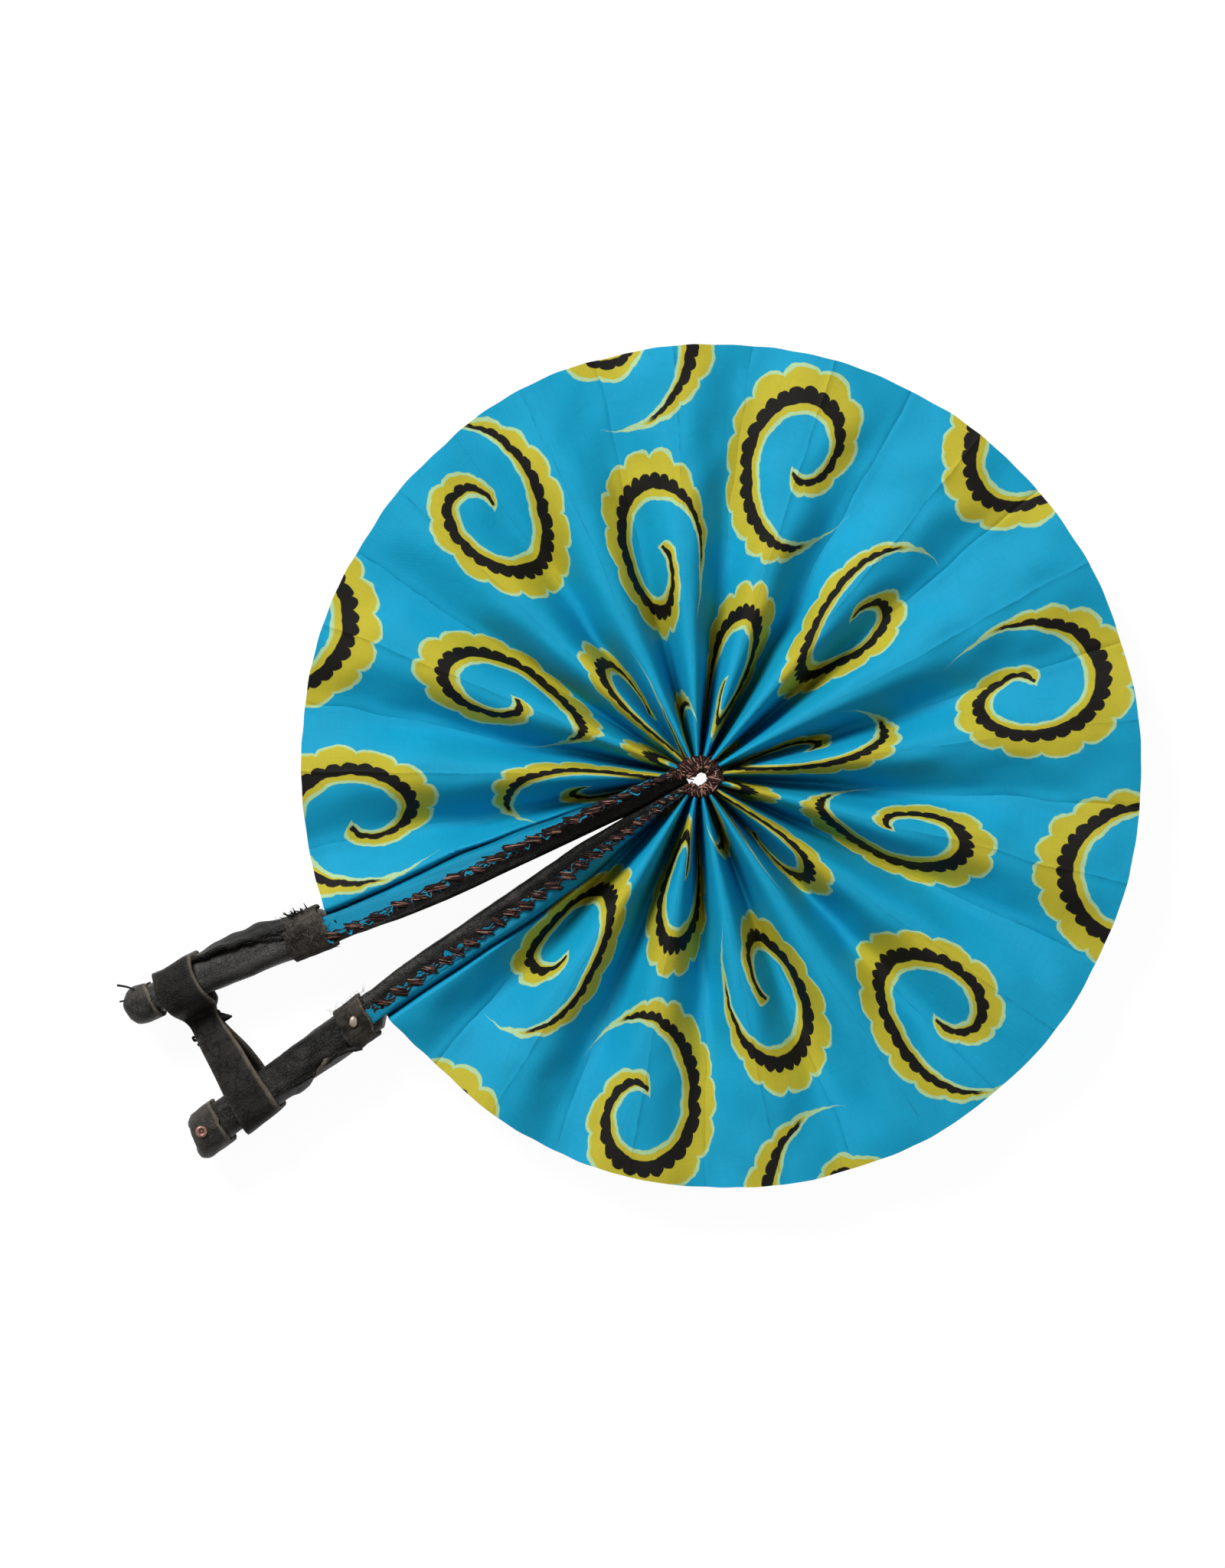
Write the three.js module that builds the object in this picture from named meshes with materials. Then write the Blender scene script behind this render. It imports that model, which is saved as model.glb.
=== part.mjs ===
// Folding fabric hand fan: a pleated cloth leaf opened into a round disc between two
// leather covered guard sticks, with a leather strap that holds the two handles together.
// Millimetres, +Z up. The fan lies open on its guards with its handles towards -X.

import * as THREE from 'three';
import { mergeVertices } from 'three/addons/utils/BufferGeometryUtils.js';

// Leaf
const OPEN_DIAMETER = 356;        // across the open leaf
const HUB_OFFSET = 10;            // hub to the middle of the open leaf, away from the handles
const VALLEYS = 16;               // valley folds, with a ridge fold between each two
const LEAF_START = 10;            // hub axis to the gathered inner edge of the cloth
const CLOTH = 0.4;                // thickness of the cloth
const CREASE_GAP = 0.35;          // half the space left between two panels at their fold
const PLEAT_FLOOR = 1.7;          // lowest point of the valley folds
const SHUT_TILT = 88;             // degrees from level of a panel in the shut fan
const PANEL_SWING = 81;           // degrees that a panel's rim end turns to reach that tilt
const RADIAL_STEPS = 9;           // lengths that a panel's twist is divided into

// Guards, measured along the middle line between them
const EDGE_ANGLE = 8.15;          // degrees from the middle line to the leaf's edge fold
const INNER_ANGLE = 5.3;          // degrees from the middle line to a guard's inner face
const HANDLE_ANGLE = 7;           // degrees from the middle line to a handle's centre line
const TOUCH_REACH = 35;           // hub axis to where the two inner faces part
const GUARD_GAP = 0.4;            // space between the two guards where they lie together
const GUARD_DEPTH = 33;           // height of the guards, which the ridge folds share
const COVER_START = 11;           // hub axis to the tip of the leather cover
const STICK_START = 44;           // hub axis to the thin end of the wooden stick
const LEAF_END = 164;             // hub axis to the end of the laced length
const HANDLE_START = 168.5;       // hub axis to the full handle section
const COVER_END = 258.7;          // hub axis to the end of the cover and the stick
const HANDLE_WIDTH = 16;
const HANDLE_DEPTH = 29;
const LEATHER = 1.2;              // thickness of the cover
const CORNER = 2.4;               // rounding of the laced length
const HANDLE_CORNER = 6.5;        // rounding of the handles
const SEAT_GAP = 0.3;             // clearance between pieces that fit each other

// Collars and end caps
const UPPER_COLLAR_START = 169;
const UPPER_COLLAR_LENGTH = 18;
const LOWER_COLLAR_START = 171.5;
const LOWER_COLLAR_LENGTH = 12.5;
const COLLAR_WALL = 1.5;
const CAP_START = 248;
const CAP_END = 261.5;
const CAP_WALL = 1.7;
const CAP_ROUND = 2.6;            // rounding at the closed end of a cap

// Whip stitching along the leaf's edges and at the hub
const STITCH_PITCH = 5.4;
const STITCH_RISE = 1.2;          // height of a stitch over the edge
const STITCH_DIP = 0.6;           // height of the thread between two stitches
const STITCH_ON_LEATHER = 3.2;
const STITCH_ON_CLOTH = 1.4;
const STITCH_SLANT = 1.6;
const HUB_HOLE = 4.8;             // radius of the hole that the hub stitches leave
const HUB_STITCH_GAP = 0.5;
const HUB_STITCH_RISE = 0.8;      // how far the hub stitches stand over the ridge folds

// Tacks
const TACK_RADIUS = 2.4;
const TACK_HEIGHT = 1.1;
const TACK_FACETS = 12;
const TACK_ASIDE = 1.5;           // from the handle's centre line, towards the other handle
const CAP_TACK_INSET = 5.2;       // from the closed end of the cap to the tack's middle

// Strap round the two handles
const STRAP_CENTRE = 235;
const STRAP_WIDTH = 17;
const STRAP_LEATHER = 1.8;
const STRAP_EASE = 0.5;           // clearance of the strap round a handle
const STRAP_NECK = 5;             // length over which its two runs are sewn together
const STRAP_CORNER = 5;

const ridgeTop = GUARD_DEPTH;
const leafRadius = OPEN_DIAMETER / 2;
const creases = VALLEYS * 2;
const rad = THREE.MathUtils.degToRad;
const creaseStep = rad((360 - 2 * EDGE_ANGLE) / creases);
const handleLow = (GUARD_DEPTH - HANDLE_DEPTH) / 2;
const handleHigh = handleLow + HANDLE_DEPTH;

const paint = (color, roughness, metalness = 0) => ({ color, roughness, metalness });
const WOOD = paint(0x6b4a2e, 0.7);
const LEATHER_BLACK = paint(0x2a2624, 0.6);
const LEATHER_GREY = paint(0x3a342f, 0.75);
const CLOTH_BLUE = paint(0x0f9fd6, 0.85);
const THREAD = paint(0x5a2420, 0.8);
const COPPER = paint(0xb07a60, 0.4, 0.9);

const fan = new THREE.Group();

// Adds a named mesh, with its faces turned outwards.
function addSolid(name, points, triangles, look) {
  const corner = (i) => points[i];
  let volume = 0;
  for (const [a, b, c] of triangles) {
    volume += corner(a).dot(corner(b).clone().cross(corner(c)));
  }
  const faces = volume < 0 ? triangles.map(([a, b, c]) => [a, c, b]) : triangles;
  const geometry = new THREE.BufferGeometry();
  geometry.setFromPoints(points);
  geometry.setIndex(faces.flat());
  geometry.computeVertexNormals();
  const mesh = new THREE.Mesh(geometry, new THREE.MeshStandardMaterial(look));
  mesh.name = name;
  fan.add(mesh);
}

// Joins rings of equal size into one skin. Open lofts get flat ends, looped ones join up.
// The two halves of a ring are cut along facing diagonals, so a thin twisted sheet keeps its thickness.
function addLoft(name, rings, look, looped = false) {
  const size = rings[0].length;
  const points = rings.flat();
  const triangles = [];
  const spans = looped ? rings.length : rings.length - 1;
  for (let k = 0; k < spans; k++) {
    const near = k * size;
    const far = ((k + 1) % rings.length) * size;
    for (let i = 0; i < size; i++) {
      const next = (i + 1) % size;
      if (2 * i < size) {
        triangles.push([near + i, near + next, far + next], [near + i, far + next, far + i]);
      } else {
        triangles.push([near + i, near + next, far + i], [near + next, far + next, far + i]);
      }
    }
  }
  if (!looped) {
    const last = (rings.length - 1) * size;
    for (let i = 1; i < size - 1; i++) {
      triangles.push([0, i + 1, i], [last, last + i, last + i + 1]);
    }
  }
  addSolid(name, points, triangles, look);
}

// Pleated leaf

// Distance from the hub to the rim of the leaf at an azimuth.
function rimAt(azimuth) {
  const across = HUB_OFFSET * Math.sin(azimuth);
  return HUB_OFFSET * Math.cos(azimuth) + Math.sqrt(leafRadius ** 2 - across ** 2);
}

// Tilt of a panel from level in the open fan: steep at the hub, nearly flat at the rim.
function panelTilt(radius) {
  const reach = leafRadius + 2 * HUB_OFFSET + 2;
  const share = THREE.MathUtils.smoothstep(radius, -HUB_OFFSET, reach - HUB_OFFSET);
  return rad(SHUT_TILT - PANEL_SWING * share);
}

const rawDepth = (radius) => radius * creaseStep * Math.tan(panelTilt(radius));
let deepest = 0;
for (let radius = LEAF_START; radius < leafRadius; radius += 1) {
  deepest = Math.max(deepest, rawDepth(radius));
}
const valleyHeight = (radius) =>
  ridgeTop - rawDepth(radius) * (ridgeTop - PLEAT_FLOOR) / deepest;

const creaseAzimuth = (j) => rad(180 - EDGE_ANGLE) - j * creaseStep;

// A point of the leaf, set off sideways from a fold at a constant distance.
function leafPoint(azimuth, radius, aside, z) {
  const x = radius * Math.cos(azimuth) - aside * Math.sin(azimuth);
  const y = radius * Math.sin(azimuth) + aside * Math.cos(azimuth);
  return new THREE.Vector3(x, y, z);
}

function addPanel(index) {
  const ridge = index % 2 === 1 ? index - 1 : index;
  const valley = index % 2 === 1 ? index : index - 1;
  const turn = valley > ridge ? -1 : 1;
  const ridgeAzimuth = creaseAzimuth(ridge);
  const valleyAzimuth = creaseAzimuth(valley);
  const rings = [];
  for (let k = 0; k <= RADIAL_STEPS; k++) {
    const share = k / RADIAL_STEPS;
    const ridgeRadius = THREE.MathUtils.lerp(LEAF_START, rimAt(ridgeAzimuth), share);
    const valleyRadius = THREE.MathUtils.lerp(LEAF_START, rimAt(valleyAzimuth), share);
    const top = leafPoint(ridgeAzimuth, ridgeRadius, turn * CREASE_GAP, ridgeTop - CLOTH / 2);
    const low = leafPoint(valleyAzimuth, valleyRadius, -turn * CREASE_GAP, valleyHeight(valleyRadius));
    const outward = leafPoint((ridgeAzimuth + valleyAzimuth) / 2, 1, 0, 0);
    const half = low.clone().sub(top).cross(outward).setLength(CLOTH / 2);
    rings.push([
      top.clone().add(half),
      low.clone().add(half),
      low.clone().sub(half),
      top.clone().sub(half),
    ]);
  }
  addLoft(`panel_${String(index).padStart(2, '0')}`, rings, CLOTH_BLUE);
}

for (let index = 1; index <= creases; index++) {
  addPanel(index);
}

// Hub stitches: one bound pleat end under each ridge fold, together a ring round the hole.

function addHubStitch(ridge) {
  const azimuth = creaseAzimuth(ridge);
  const outer = LEAF_START - HUB_STITCH_GAP;
  const halfAt = (radius) => radius * Math.sin(creaseStep) - HUB_STITCH_GAP / 2;
  const ring = (inset, z) => {
    const near = HUB_HOLE + inset;
    const far = outer - inset;
    return [
      leafPoint(azimuth, near, -halfAt(near) + inset / 3, z),
      leafPoint(azimuth, far, -halfAt(far) + inset, z),
      leafPoint(azimuth, far, halfAt(far) - inset, z),
      leafPoint(azimuth, near, halfAt(near) - inset / 3, z),
    ];
  };
  const top = ridgeTop + HUB_STITCH_RISE;
  const rings = [
    ring(0, PLEAT_FLOOR),
    ring(0, ridgeTop),
    ring(HUB_STITCH_RISE / 2, top - HUB_STITCH_RISE / 4),
    ring(HUB_STITCH_RISE, top),
  ];
  addLoft(`hub_stitch_${String(ridge).padStart(2, '0')}`, rings, THREAD);
}

for (let ridge = 2; ridge < creases; ridge += 2) {
  addHubStitch(ridge);
}

// Guards

const innerFace = (s) =>
  GUARD_GAP / 2 + Math.max(0, s - TOUCH_REACH) * Math.tan(rad(INNER_ANGLE));
const leafLine = (s) => s * Math.tan(rad(EDGE_ANGLE));
const leafFace = (s) => leafLine(s) - GUARD_GAP / 2;
const handleMiddle = (s) => s * Math.tan(rad(HANDLE_ANGLE));

// Rounded rectangle across a guard at a distance from the hub, for the guard on one side.
function guardRing(side, s, low, high, bottom, top, corner) {
  const round = Math.min(corner, (high - low) / 2.2, (top - bottom) / 2.2);
  const ring = [];
  const middles = [
    [high - round, top - round],
    [low + round, top - round],
    [low + round, bottom + round],
    [high - round, bottom + round],
  ];
  middles.forEach(([y, z], quarter) => {
    for (let k = 0; k <= 2; k++) {
      const angle = (quarter + k / 2) * Math.PI / 2;
      const across = y + round * Math.cos(angle);
      ring.push(new THREE.Vector3(-s, side * across, z + round * Math.sin(angle)));
    }
  });
  return ring;
}

function lacedRing(side, s, inset) {
  const low = innerFace(s) + inset;
  const high = leafFace(s) - inset;
  return guardRing(side, s, low, high, inset, GUARD_DEPTH - inset, CORNER - inset / 2);
}

function handleRing(side, s, grow) {
  const low = handleMiddle(s) - HANDLE_WIDTH / 2 - grow;
  const high = handleMiddle(s) + HANDLE_WIDTH / 2 + grow;
  return guardRing(side, s, low, high, handleLow - grow, handleHigh + grow, HANDLE_CORNER + grow);
}

// Rings of a guard's surface from the start of its stick to its handle's end.
function stickRings(side, inset, start, end) {
  return [
    lacedRing(side, start, inset),
    lacedRing(side, LEAF_END, inset),
    handleRing(side, HANDLE_START, -inset),
    handleRing(side, end, -inset),
  ];
}

function addGuard(prefix, side, collarStart, collarLength) {
  const fit = LEATHER + SEAT_GAP;
  addLoft(`${prefix}_stick`, stickRings(side, fit, STICK_START + SEAT_GAP, COVER_END), WOOD);

  const outside = [lacedRing(side, COVER_START, 0), lacedRing(side, TOUCH_REACH, 0)];
  outside.push(...stickRings(side, 0, STICK_START, COVER_END));
  const inside = stickRings(side, LEATHER, STICK_START, COVER_END).reverse();
  addLoft(`${prefix}_cover`, [...outside, ...inside], LEATHER_BLACK);

  const collarEnd = collarStart + collarLength;
  const collar = [
    handleRing(side, collarStart, SEAT_GAP),
    handleRing(side, collarStart, SEAT_GAP + COLLAR_WALL),
    handleRing(side, collarEnd, SEAT_GAP + COLLAR_WALL),
    handleRing(side, collarEnd, SEAT_GAP),
  ];
  addLoft(`${prefix}_collar`, collar, LEATHER_GREY, true);

  const capOut = SEAT_GAP + CAP_WALL;
  const cap = [
    handleRing(side, COVER_END + SEAT_GAP, SEAT_GAP),
    handleRing(side, CAP_START, SEAT_GAP),
    handleRing(side, CAP_START, capOut),
    handleRing(side, CAP_END - CAP_ROUND, capOut),
    handleRing(side, CAP_END - CAP_ROUND / 4, capOut - CAP_ROUND / 3),
    handleRing(side, CAP_END, capOut - CAP_ROUND),
  ];
  addLoft(`${prefix}_cap`, cap, LEATHER_BLACK);
  addLacing(`${prefix}_lacing`, side);
}

// Whip stitches: one thread along the leaf's edge fold, swelling and slanting at each stitch.
function addLacing(name, side) {
  const base = GUARD_DEPTH + SEAT_GAP;
  const rings = [];
  const count = Math.floor((LEAF_END - COVER_START - STITCH_PITCH) / STITCH_PITCH);
  for (let k = 0; k <= 2 * count; k++) {
    const onStitch = k % 2 === 1;
    const s = COVER_START + STITCH_PITCH + k * STITCH_PITCH / 2;
    const rise = onStitch ? STITCH_RISE : STITCH_DIP;
    const spread = onStitch ? 1 : 0.55;
    const low = Math.max(leafLine(s) - STITCH_ON_LEATHER * spread, innerFace(s) + GUARD_GAP / 2);
    const high = leafLine(s) + STITCH_ON_CLOTH * spread;
    const slant = STITCH_SLANT / 2;
    const point = (share, z) => {
      const along = s + slant * (2 * share - 1);
      return new THREE.Vector3(-along, side * THREE.MathUtils.lerp(low, high, share), z);
    };
    rings.push([
      point(0, base),
      point(1, base),
      point(1, base + rise / 2),
      point(0.7, base + rise),
      point(0.3, base + rise),
      point(0, base + rise / 2),
    ]);
  }
  addLoft(name, rings, THREAD);
}

addGuard('upper', 1, UPPER_COLLAR_START, UPPER_COLLAR_LENGTH);
addGuard('lower', -1, LOWER_COLLAR_START, LOWER_COLLAR_LENGTH);

// Tacks through the lower guard's collar and cap

function addTack(name, s, grow) {
  const middle = new THREE.Vector3(-s, TACK_ASIDE - handleMiddle(s), handleHigh + grow + SEAT_GAP);
  const profile = [[1, 0], [1, 0.4], [0.8, 0.8], [0.4, 1]];
  const rings = profile.map(([width, height]) => {
    const ring = [];
    for (let i = 0; i < TACK_FACETS; i++) {
      const angle = i / TACK_FACETS * 2 * Math.PI;
      const spoke = new THREE.Vector3(Math.cos(angle), Math.sin(angle), 0);
      spoke.multiplyScalar(width * TACK_RADIUS);
      spoke.z = height * TACK_HEIGHT;
      ring.push(spoke.add(middle));
    }
    return ring;
  });
  addLoft(name, rings, COPPER);
}

addTack('collar_tack', LOWER_COLLAR_START + LOWER_COLLAR_LENGTH / 2, SEAT_GAP + COLLAR_WALL);
addTack('cap_tack', CAP_END - CAP_TACK_INSET, SEAT_GAP + CAP_WALL);

// Strap: a flat band, snug round the upper handle, sewn to itself at a neck, then open
// round the lower handle. Drawn across the handles and run along them.

function roundedOutline(outline, corners) {
  corners.forEach(([y, z, round], i) => {
    const before = corners[(i + corners.length - 1) % corners.length];
    const after = corners[(i + 1) % corners.length];
    const here = new THREE.Vector2(y, z);
    const from = new THREE.Vector2(before[0], before[1]).sub(here).setLength(round).add(here);
    const to = new THREE.Vector2(after[0], after[1]).sub(here).setLength(round).add(here);
    if (i === 0) {
      outline.moveTo(from.x, from.y);
    } else {
      outline.lineTo(from.x, from.y);
    }
    outline.quadraticCurveTo(y, z, to.x, to.y);
  });
  outline.closePath();
  return outline;
}

function addStrap() {
  const middle = handleMiddle(STRAP_CENTRE);
  const half = HANDLE_WIDTH / 2 + STRAP_EASE;
  const level = GUARD_DEPTH / 2;
  const low = handleLow - STRAP_EASE;
  const high = handleHigh + STRAP_EASE;
  const wall = STRAP_LEATHER;
  const neckNear = middle - half - wall;
  const neckFar = neckNear - STRAP_NECK;
  const outerRound = STRAP_CORNER + wall;
  const outline = roundedOutline(new THREE.Shape(), [
    [middle + half + wall, low - wall, outerRound],
    [middle + half + wall, high + wall, outerRound],
    [neckNear, high + wall, outerRound],
    [neckNear, level + wall, wall],
    [neckFar, level + wall, wall],
    [-middle + half, high + wall, outerRound],
    [-middle - half - wall, high + wall, outerRound],
    [-middle - half - wall, low - wall, outerRound],
    [-middle + half, low - wall, outerRound],
    [neckFar, level - wall, wall],
    [neckNear, level - wall, wall],
    [neckNear, low - wall, outerRound],
  ]);
  outline.holes.push(roundedOutline(new THREE.Path(), [
    [middle + half, low, STRAP_CORNER],
    [middle + half, high, STRAP_CORNER],
    [middle - half, high, STRAP_CORNER],
    [middle - half, low, STRAP_CORNER],
  ]));
  outline.holes.push(roundedOutline(new THREE.Path(), [
    [neckFar - wall, level, wall],
    [-middle + half, high, STRAP_CORNER],
    [-middle - half, high, STRAP_CORNER],
    [-middle - half, low, STRAP_CORNER],
    [-middle + half, low, STRAP_CORNER],
  ]));
  const band = new THREE.ExtrudeGeometry(outline, {
    depth: STRAP_WIDTH,
    bevelEnabled: false,
    curveSegments: 3,
  });
  band.deleteAttribute('normal');
  band.deleteAttribute('uv');
  const merged = mergeVertices(band);
  const corners = merged.getAttribute('position');
  const points = [];
  for (let i = 0; i < corners.count; i++) {
    const s = STRAP_CENTRE - STRAP_WIDTH / 2 + corners.getZ(i);
    points.push(new THREE.Vector3(-s, corners.getX(i) * s / STRAP_CENTRE, corners.getY(i)));
  }
  const order = Array.from(merged.getIndex().array);
  const triangles = [];
  for (let i = 0; i < order.length; i += 3) {
    triangles.push(order.slice(i, i + 3));
  }
  addSolid('keeper_strap', points, triangles, LEATHER_BLACK);
}

addStrap();

// The origin is under the middle of the fan's outline.
fan.position.x = (CAP_END - leafRadius - HUB_OFFSET) / 2;

export default fan;
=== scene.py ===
import math

import bpy
import numpy as np
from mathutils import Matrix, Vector


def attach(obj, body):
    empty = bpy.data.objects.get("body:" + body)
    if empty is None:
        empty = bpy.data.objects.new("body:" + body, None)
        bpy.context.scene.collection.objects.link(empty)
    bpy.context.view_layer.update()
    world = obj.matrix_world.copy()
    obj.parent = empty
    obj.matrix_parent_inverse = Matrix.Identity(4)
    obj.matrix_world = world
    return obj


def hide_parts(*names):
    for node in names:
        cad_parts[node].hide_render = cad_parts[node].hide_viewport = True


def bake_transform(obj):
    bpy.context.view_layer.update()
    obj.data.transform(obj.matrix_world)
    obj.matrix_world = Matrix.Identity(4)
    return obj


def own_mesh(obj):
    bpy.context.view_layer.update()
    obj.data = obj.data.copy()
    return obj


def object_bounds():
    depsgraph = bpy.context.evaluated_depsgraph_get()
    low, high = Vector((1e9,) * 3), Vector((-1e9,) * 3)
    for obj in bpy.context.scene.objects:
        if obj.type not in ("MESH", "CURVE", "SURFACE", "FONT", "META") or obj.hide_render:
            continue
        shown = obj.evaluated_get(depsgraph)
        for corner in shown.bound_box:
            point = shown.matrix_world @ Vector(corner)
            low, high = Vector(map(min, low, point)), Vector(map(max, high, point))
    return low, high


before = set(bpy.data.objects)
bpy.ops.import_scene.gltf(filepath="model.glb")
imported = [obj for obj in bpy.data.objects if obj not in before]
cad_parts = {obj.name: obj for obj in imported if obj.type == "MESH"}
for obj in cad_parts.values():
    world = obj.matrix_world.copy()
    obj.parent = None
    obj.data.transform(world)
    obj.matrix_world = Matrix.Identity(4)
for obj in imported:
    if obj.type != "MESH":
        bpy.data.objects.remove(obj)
cad_low, cad_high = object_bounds()

# Sizes in millimetres and degrees, as in the part's source. The hub is at the origin of this
# script's own coordinates, the handles point to -X and the upper guard is on +Y. Along a guard,
# s is the distance from the hub, and side is 1 for the upper guard and -1 for the lower one.
MM = 0.001
HUB_X = 0.03675               # metres from the row frame's origin to the hub
LEAF_RADIUS = 178.0
HUB_OFFSET = 10.0             # from the hub to the leaf's middle
CREASES = 32
LEAF_START = 10.0
CLOTH = 0.4
PANEL_CLOTH = 33.5            # width of cloth in one panel
PLEAT_FLOOR = 1.7
RIDGE_TOP = 33.0
SHUT_TILT = 88.0
PANEL_SWING = 81.0
EDGE_ANGLE = math.radians(8.15)
INNER_ANGLE = math.radians(5.3)
HANDLE_ANGLE = math.radians(7.0)
TOUCH_REACH = 35.0
GUARD_GAP = 0.4
COVER_START, COVER_END = 11.0, 258.7
COVER_SHORTER = {1: 2.0, -1: 0.0}
LEAF_END = 164.0
HANDLE_START = 168.5
HANDLE_HALF = 8.0
HANDLE_LOW, HANDLE_HIGH = 2.0, 31.0
CORNER, HANDLE_CORNER = 2.4, 6.5
STICK_INSET = 1.9
STICK_END = (253.0, 255.0, 256.2)   # last places along the upper stick, where it is rounded off
NARROW_FROM, NARROW_LENGTH, NARROW_BY = 232.0, 16.0, 3.3   # of the upper handle's end
COLLARS = {1: (169.0, 187.0), -1: (171.5, 184.0)}
COLLAR_GROW, COLLAR_LEATHER = 1.8, 1.5
CAP_START, CAP_END = 248.0, 261.5
CAP_GROW = 2.0
TACK_ASIDE, CAP_TACK_INSET = 1.5, 5.2
SEAT_GAP = 0.3
HUB_HOLE = 4.8
STRAP_CENTRE = 235.0
STRAP_LEATHER = 1.8
STRAP_EASE = 0.5
STRAP_SLOPE, STRAP_NECK = 5.0, 5.0   # widths from the upper handle to the neck, and of the neck
STRAP_SLACK = {1: 1.1, -1: 1.2}   # between the strap and each handle's outer side
STRAP_CORNERS = (6.6, 2.2, 3.0)   # round a handle, and at the neck's near and far ends

CREASE_STEP = (2 * math.pi - 2 * EDGE_ANGLE) / CREASES
RIDGE_REACH = LEAF_RADIUS + 2 * HUB_OFFSET + 2
SHARP_FROM = math.radians(55)   # a corner sharper than this is shaded as an edge

# The photograph's right and up, in the frame's plan
VIEW_TURN = math.radians(-28.85)
view_right = np.array([math.cos(VIEW_TURN), math.sin(VIEW_TURN), 0.0])
view_up = np.array([-math.sin(VIEW_TURN), math.cos(VIEW_TURN), 0.0])


# Small tools

def smooth01(x):
    x = np.clip(x, 0, 1)
    return x * x * (3 - 2 * x)


def wave_sizes(rng, shortest, longest, count):
    """Random wave lengths, and each one's height, so that their sum stays within about 1."""
    length = np.exp(rng.uniform(math.log(shortest), math.log(longest), count))
    size = (length / longest) ** 0.5
    return length, size / (np.sqrt((size ** 2).sum() / 2) * 1.6)


def wave_field(seed, shortest, longest, count):
    """A smooth wandering value of about -1 to 1 over a plane, in millimetres."""
    rng = np.random.default_rng(seed)
    length, size = wave_sizes(rng, shortest, longest, count)
    turn = rng.uniform(0, 2 * math.pi, count)
    phase = rng.uniform(0, 2 * math.pi, count)

    def at(a, b):
        total = 0.0
        for n in range(count):
            along = a * math.cos(turn[n]) + b * math.sin(turn[n])
            total = total + size[n] * np.sin(2 * math.pi * along / length[n] + phase[n])
        return total

    return at


def line_wave(seed, shortest, longest, count=7):
    """The same along a line."""
    rng = np.random.default_rng(seed)
    length, size = wave_sizes(rng, shortest, longest, count)
    phase = rng.uniform(0, 2 * math.pi, count)

    def at(a):
        a = np.asarray(a, float)[..., None]
        return (size * np.sin(2 * math.pi * a / length + phase)).sum(-1)

    return at


class Build:
    """Skins of one piece, each a pair of points and faces. Marks are numbers kept on each point."""

    def __init__(self):
        self.points, self.faces, self.marks = [], [], {}
        self.count = 0

    def add(self, skin, **marks):
        points, faces = skin
        base = self.count
        self.points.append(points)
        self.faces += [tuple(base + i for i in face) for face in faces]
        for name, value in marks.items():
            value = np.broadcast_to(np.asarray(value, float).ravel(), (len(points),))
            self.marks.setdefault(name, []).append((base, value))
        self.count += len(points)

    def piece(self, name, material, body, slot, *stands_for):
        points = np.concatenate(self.points)
        row = points * MM
        row[:, 0] += HUB_X
        mesh = bpy.data.meshes.new(name)
        mesh.from_pydata(row.tolist(), [], self.faces)
        mesh.polygons.foreach_set("use_smooth", [True] * len(mesh.polygons))
        for mark_name, runs in self.marks.items():
            values = np.zeros(len(points), np.float32)
            for base, value in runs:
                values[base:base + len(value)] = value
            mesh.attributes.new(mark_name, "FLOAT", "POINT").data.foreach_set("value", values)
        mesh.materials.append(material)
        mesh.set_sharp_from_angle(angle=SHARP_FROM)
        mesh.update()
        made = bpy.data.objects.new(name, mesh)
        bpy.context.scene.collection.objects.link(made)
        if body:
            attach(made, body)
        if stands_for:
            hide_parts(*stands_for)
        return made


def outward(points, faces):
    """faces turned so that the closed skin they make faces out."""
    triangles = np.array([(f[0], f[k], f[k + 1]) for f in faces for k in range(1, len(f) - 1)])
    a, b, c = points[triangles].transpose(1, 0, 2)
    volume = (a * np.cross(b, c)).sum()
    return faces if volume >= 0 else [tuple(reversed(f)) for f in faces]


def loft(rings, looped=False):
    """A skin through rings of equal size, closed at its ends or looped."""
    rings = np.asarray(rings, float)
    n, size = rings.shape[:2]
    faces = []
    for k in range(n if looped else n - 1):
        a, b = k * size, (k + 1) % n * size
        for i in range(size):
            j = (i + 1) % size
            faces.append((a + i, a + j, b + j, b + i))
    if not looped:
        faces.append(tuple(reversed(range(size))))
        faces.append(tuple((n - 1) * size + i for i in range(size)))
    points = rings.reshape(-1, 3)
    return points, outward(points, faces)


def shell(front, back):
    """A closed sheet between two grids."""
    rows, cols = front.shape[:2]
    size = rows * cols
    faces = []
    for k in range(rows - 1):
        for m in range(cols - 1):
            a = k * cols + m
            faces.append((a, a + 1, a + cols + 1, a + cols))
            faces.append((size + a, size + a + cols, size + a + cols + 1, size + a + 1))
    border = list(range(cols))
    border += [k * cols + cols - 1 for k in range(1, rows)]
    border += [(rows - 1) * cols + m for m in range(cols - 2, -1, -1)]
    border += [k * cols for k in range(rows - 2, 0, -1)]
    for a, b in zip(border, border[1:] + border[:1]):
        faces.append((b, a, size + a, size + b))
    points = np.concatenate([front.reshape(-1, 3), back.reshape(-1, 3)])
    return points, outward(points, faces)


def grid_normals(grid, way):
    """Normals of a grid of points, on the side that way points to."""
    n = np.cross(np.gradient(grid, axis=0), np.gradient(grid, axis=1))
    n = n / np.maximum(np.linalg.norm(n, axis=-1, keepdims=True), 1e-9)
    return n * np.sign(n @ np.asarray(way, float))[..., None]


def sheet_skin(grid, way, above, below):
    """A closed sheet that reaches above and below a grid, where way points up."""
    grid = np.asarray(grid, float)
    n = grid_normals(grid, way)
    return shell(grid + above * n, grid - below * n)


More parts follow.
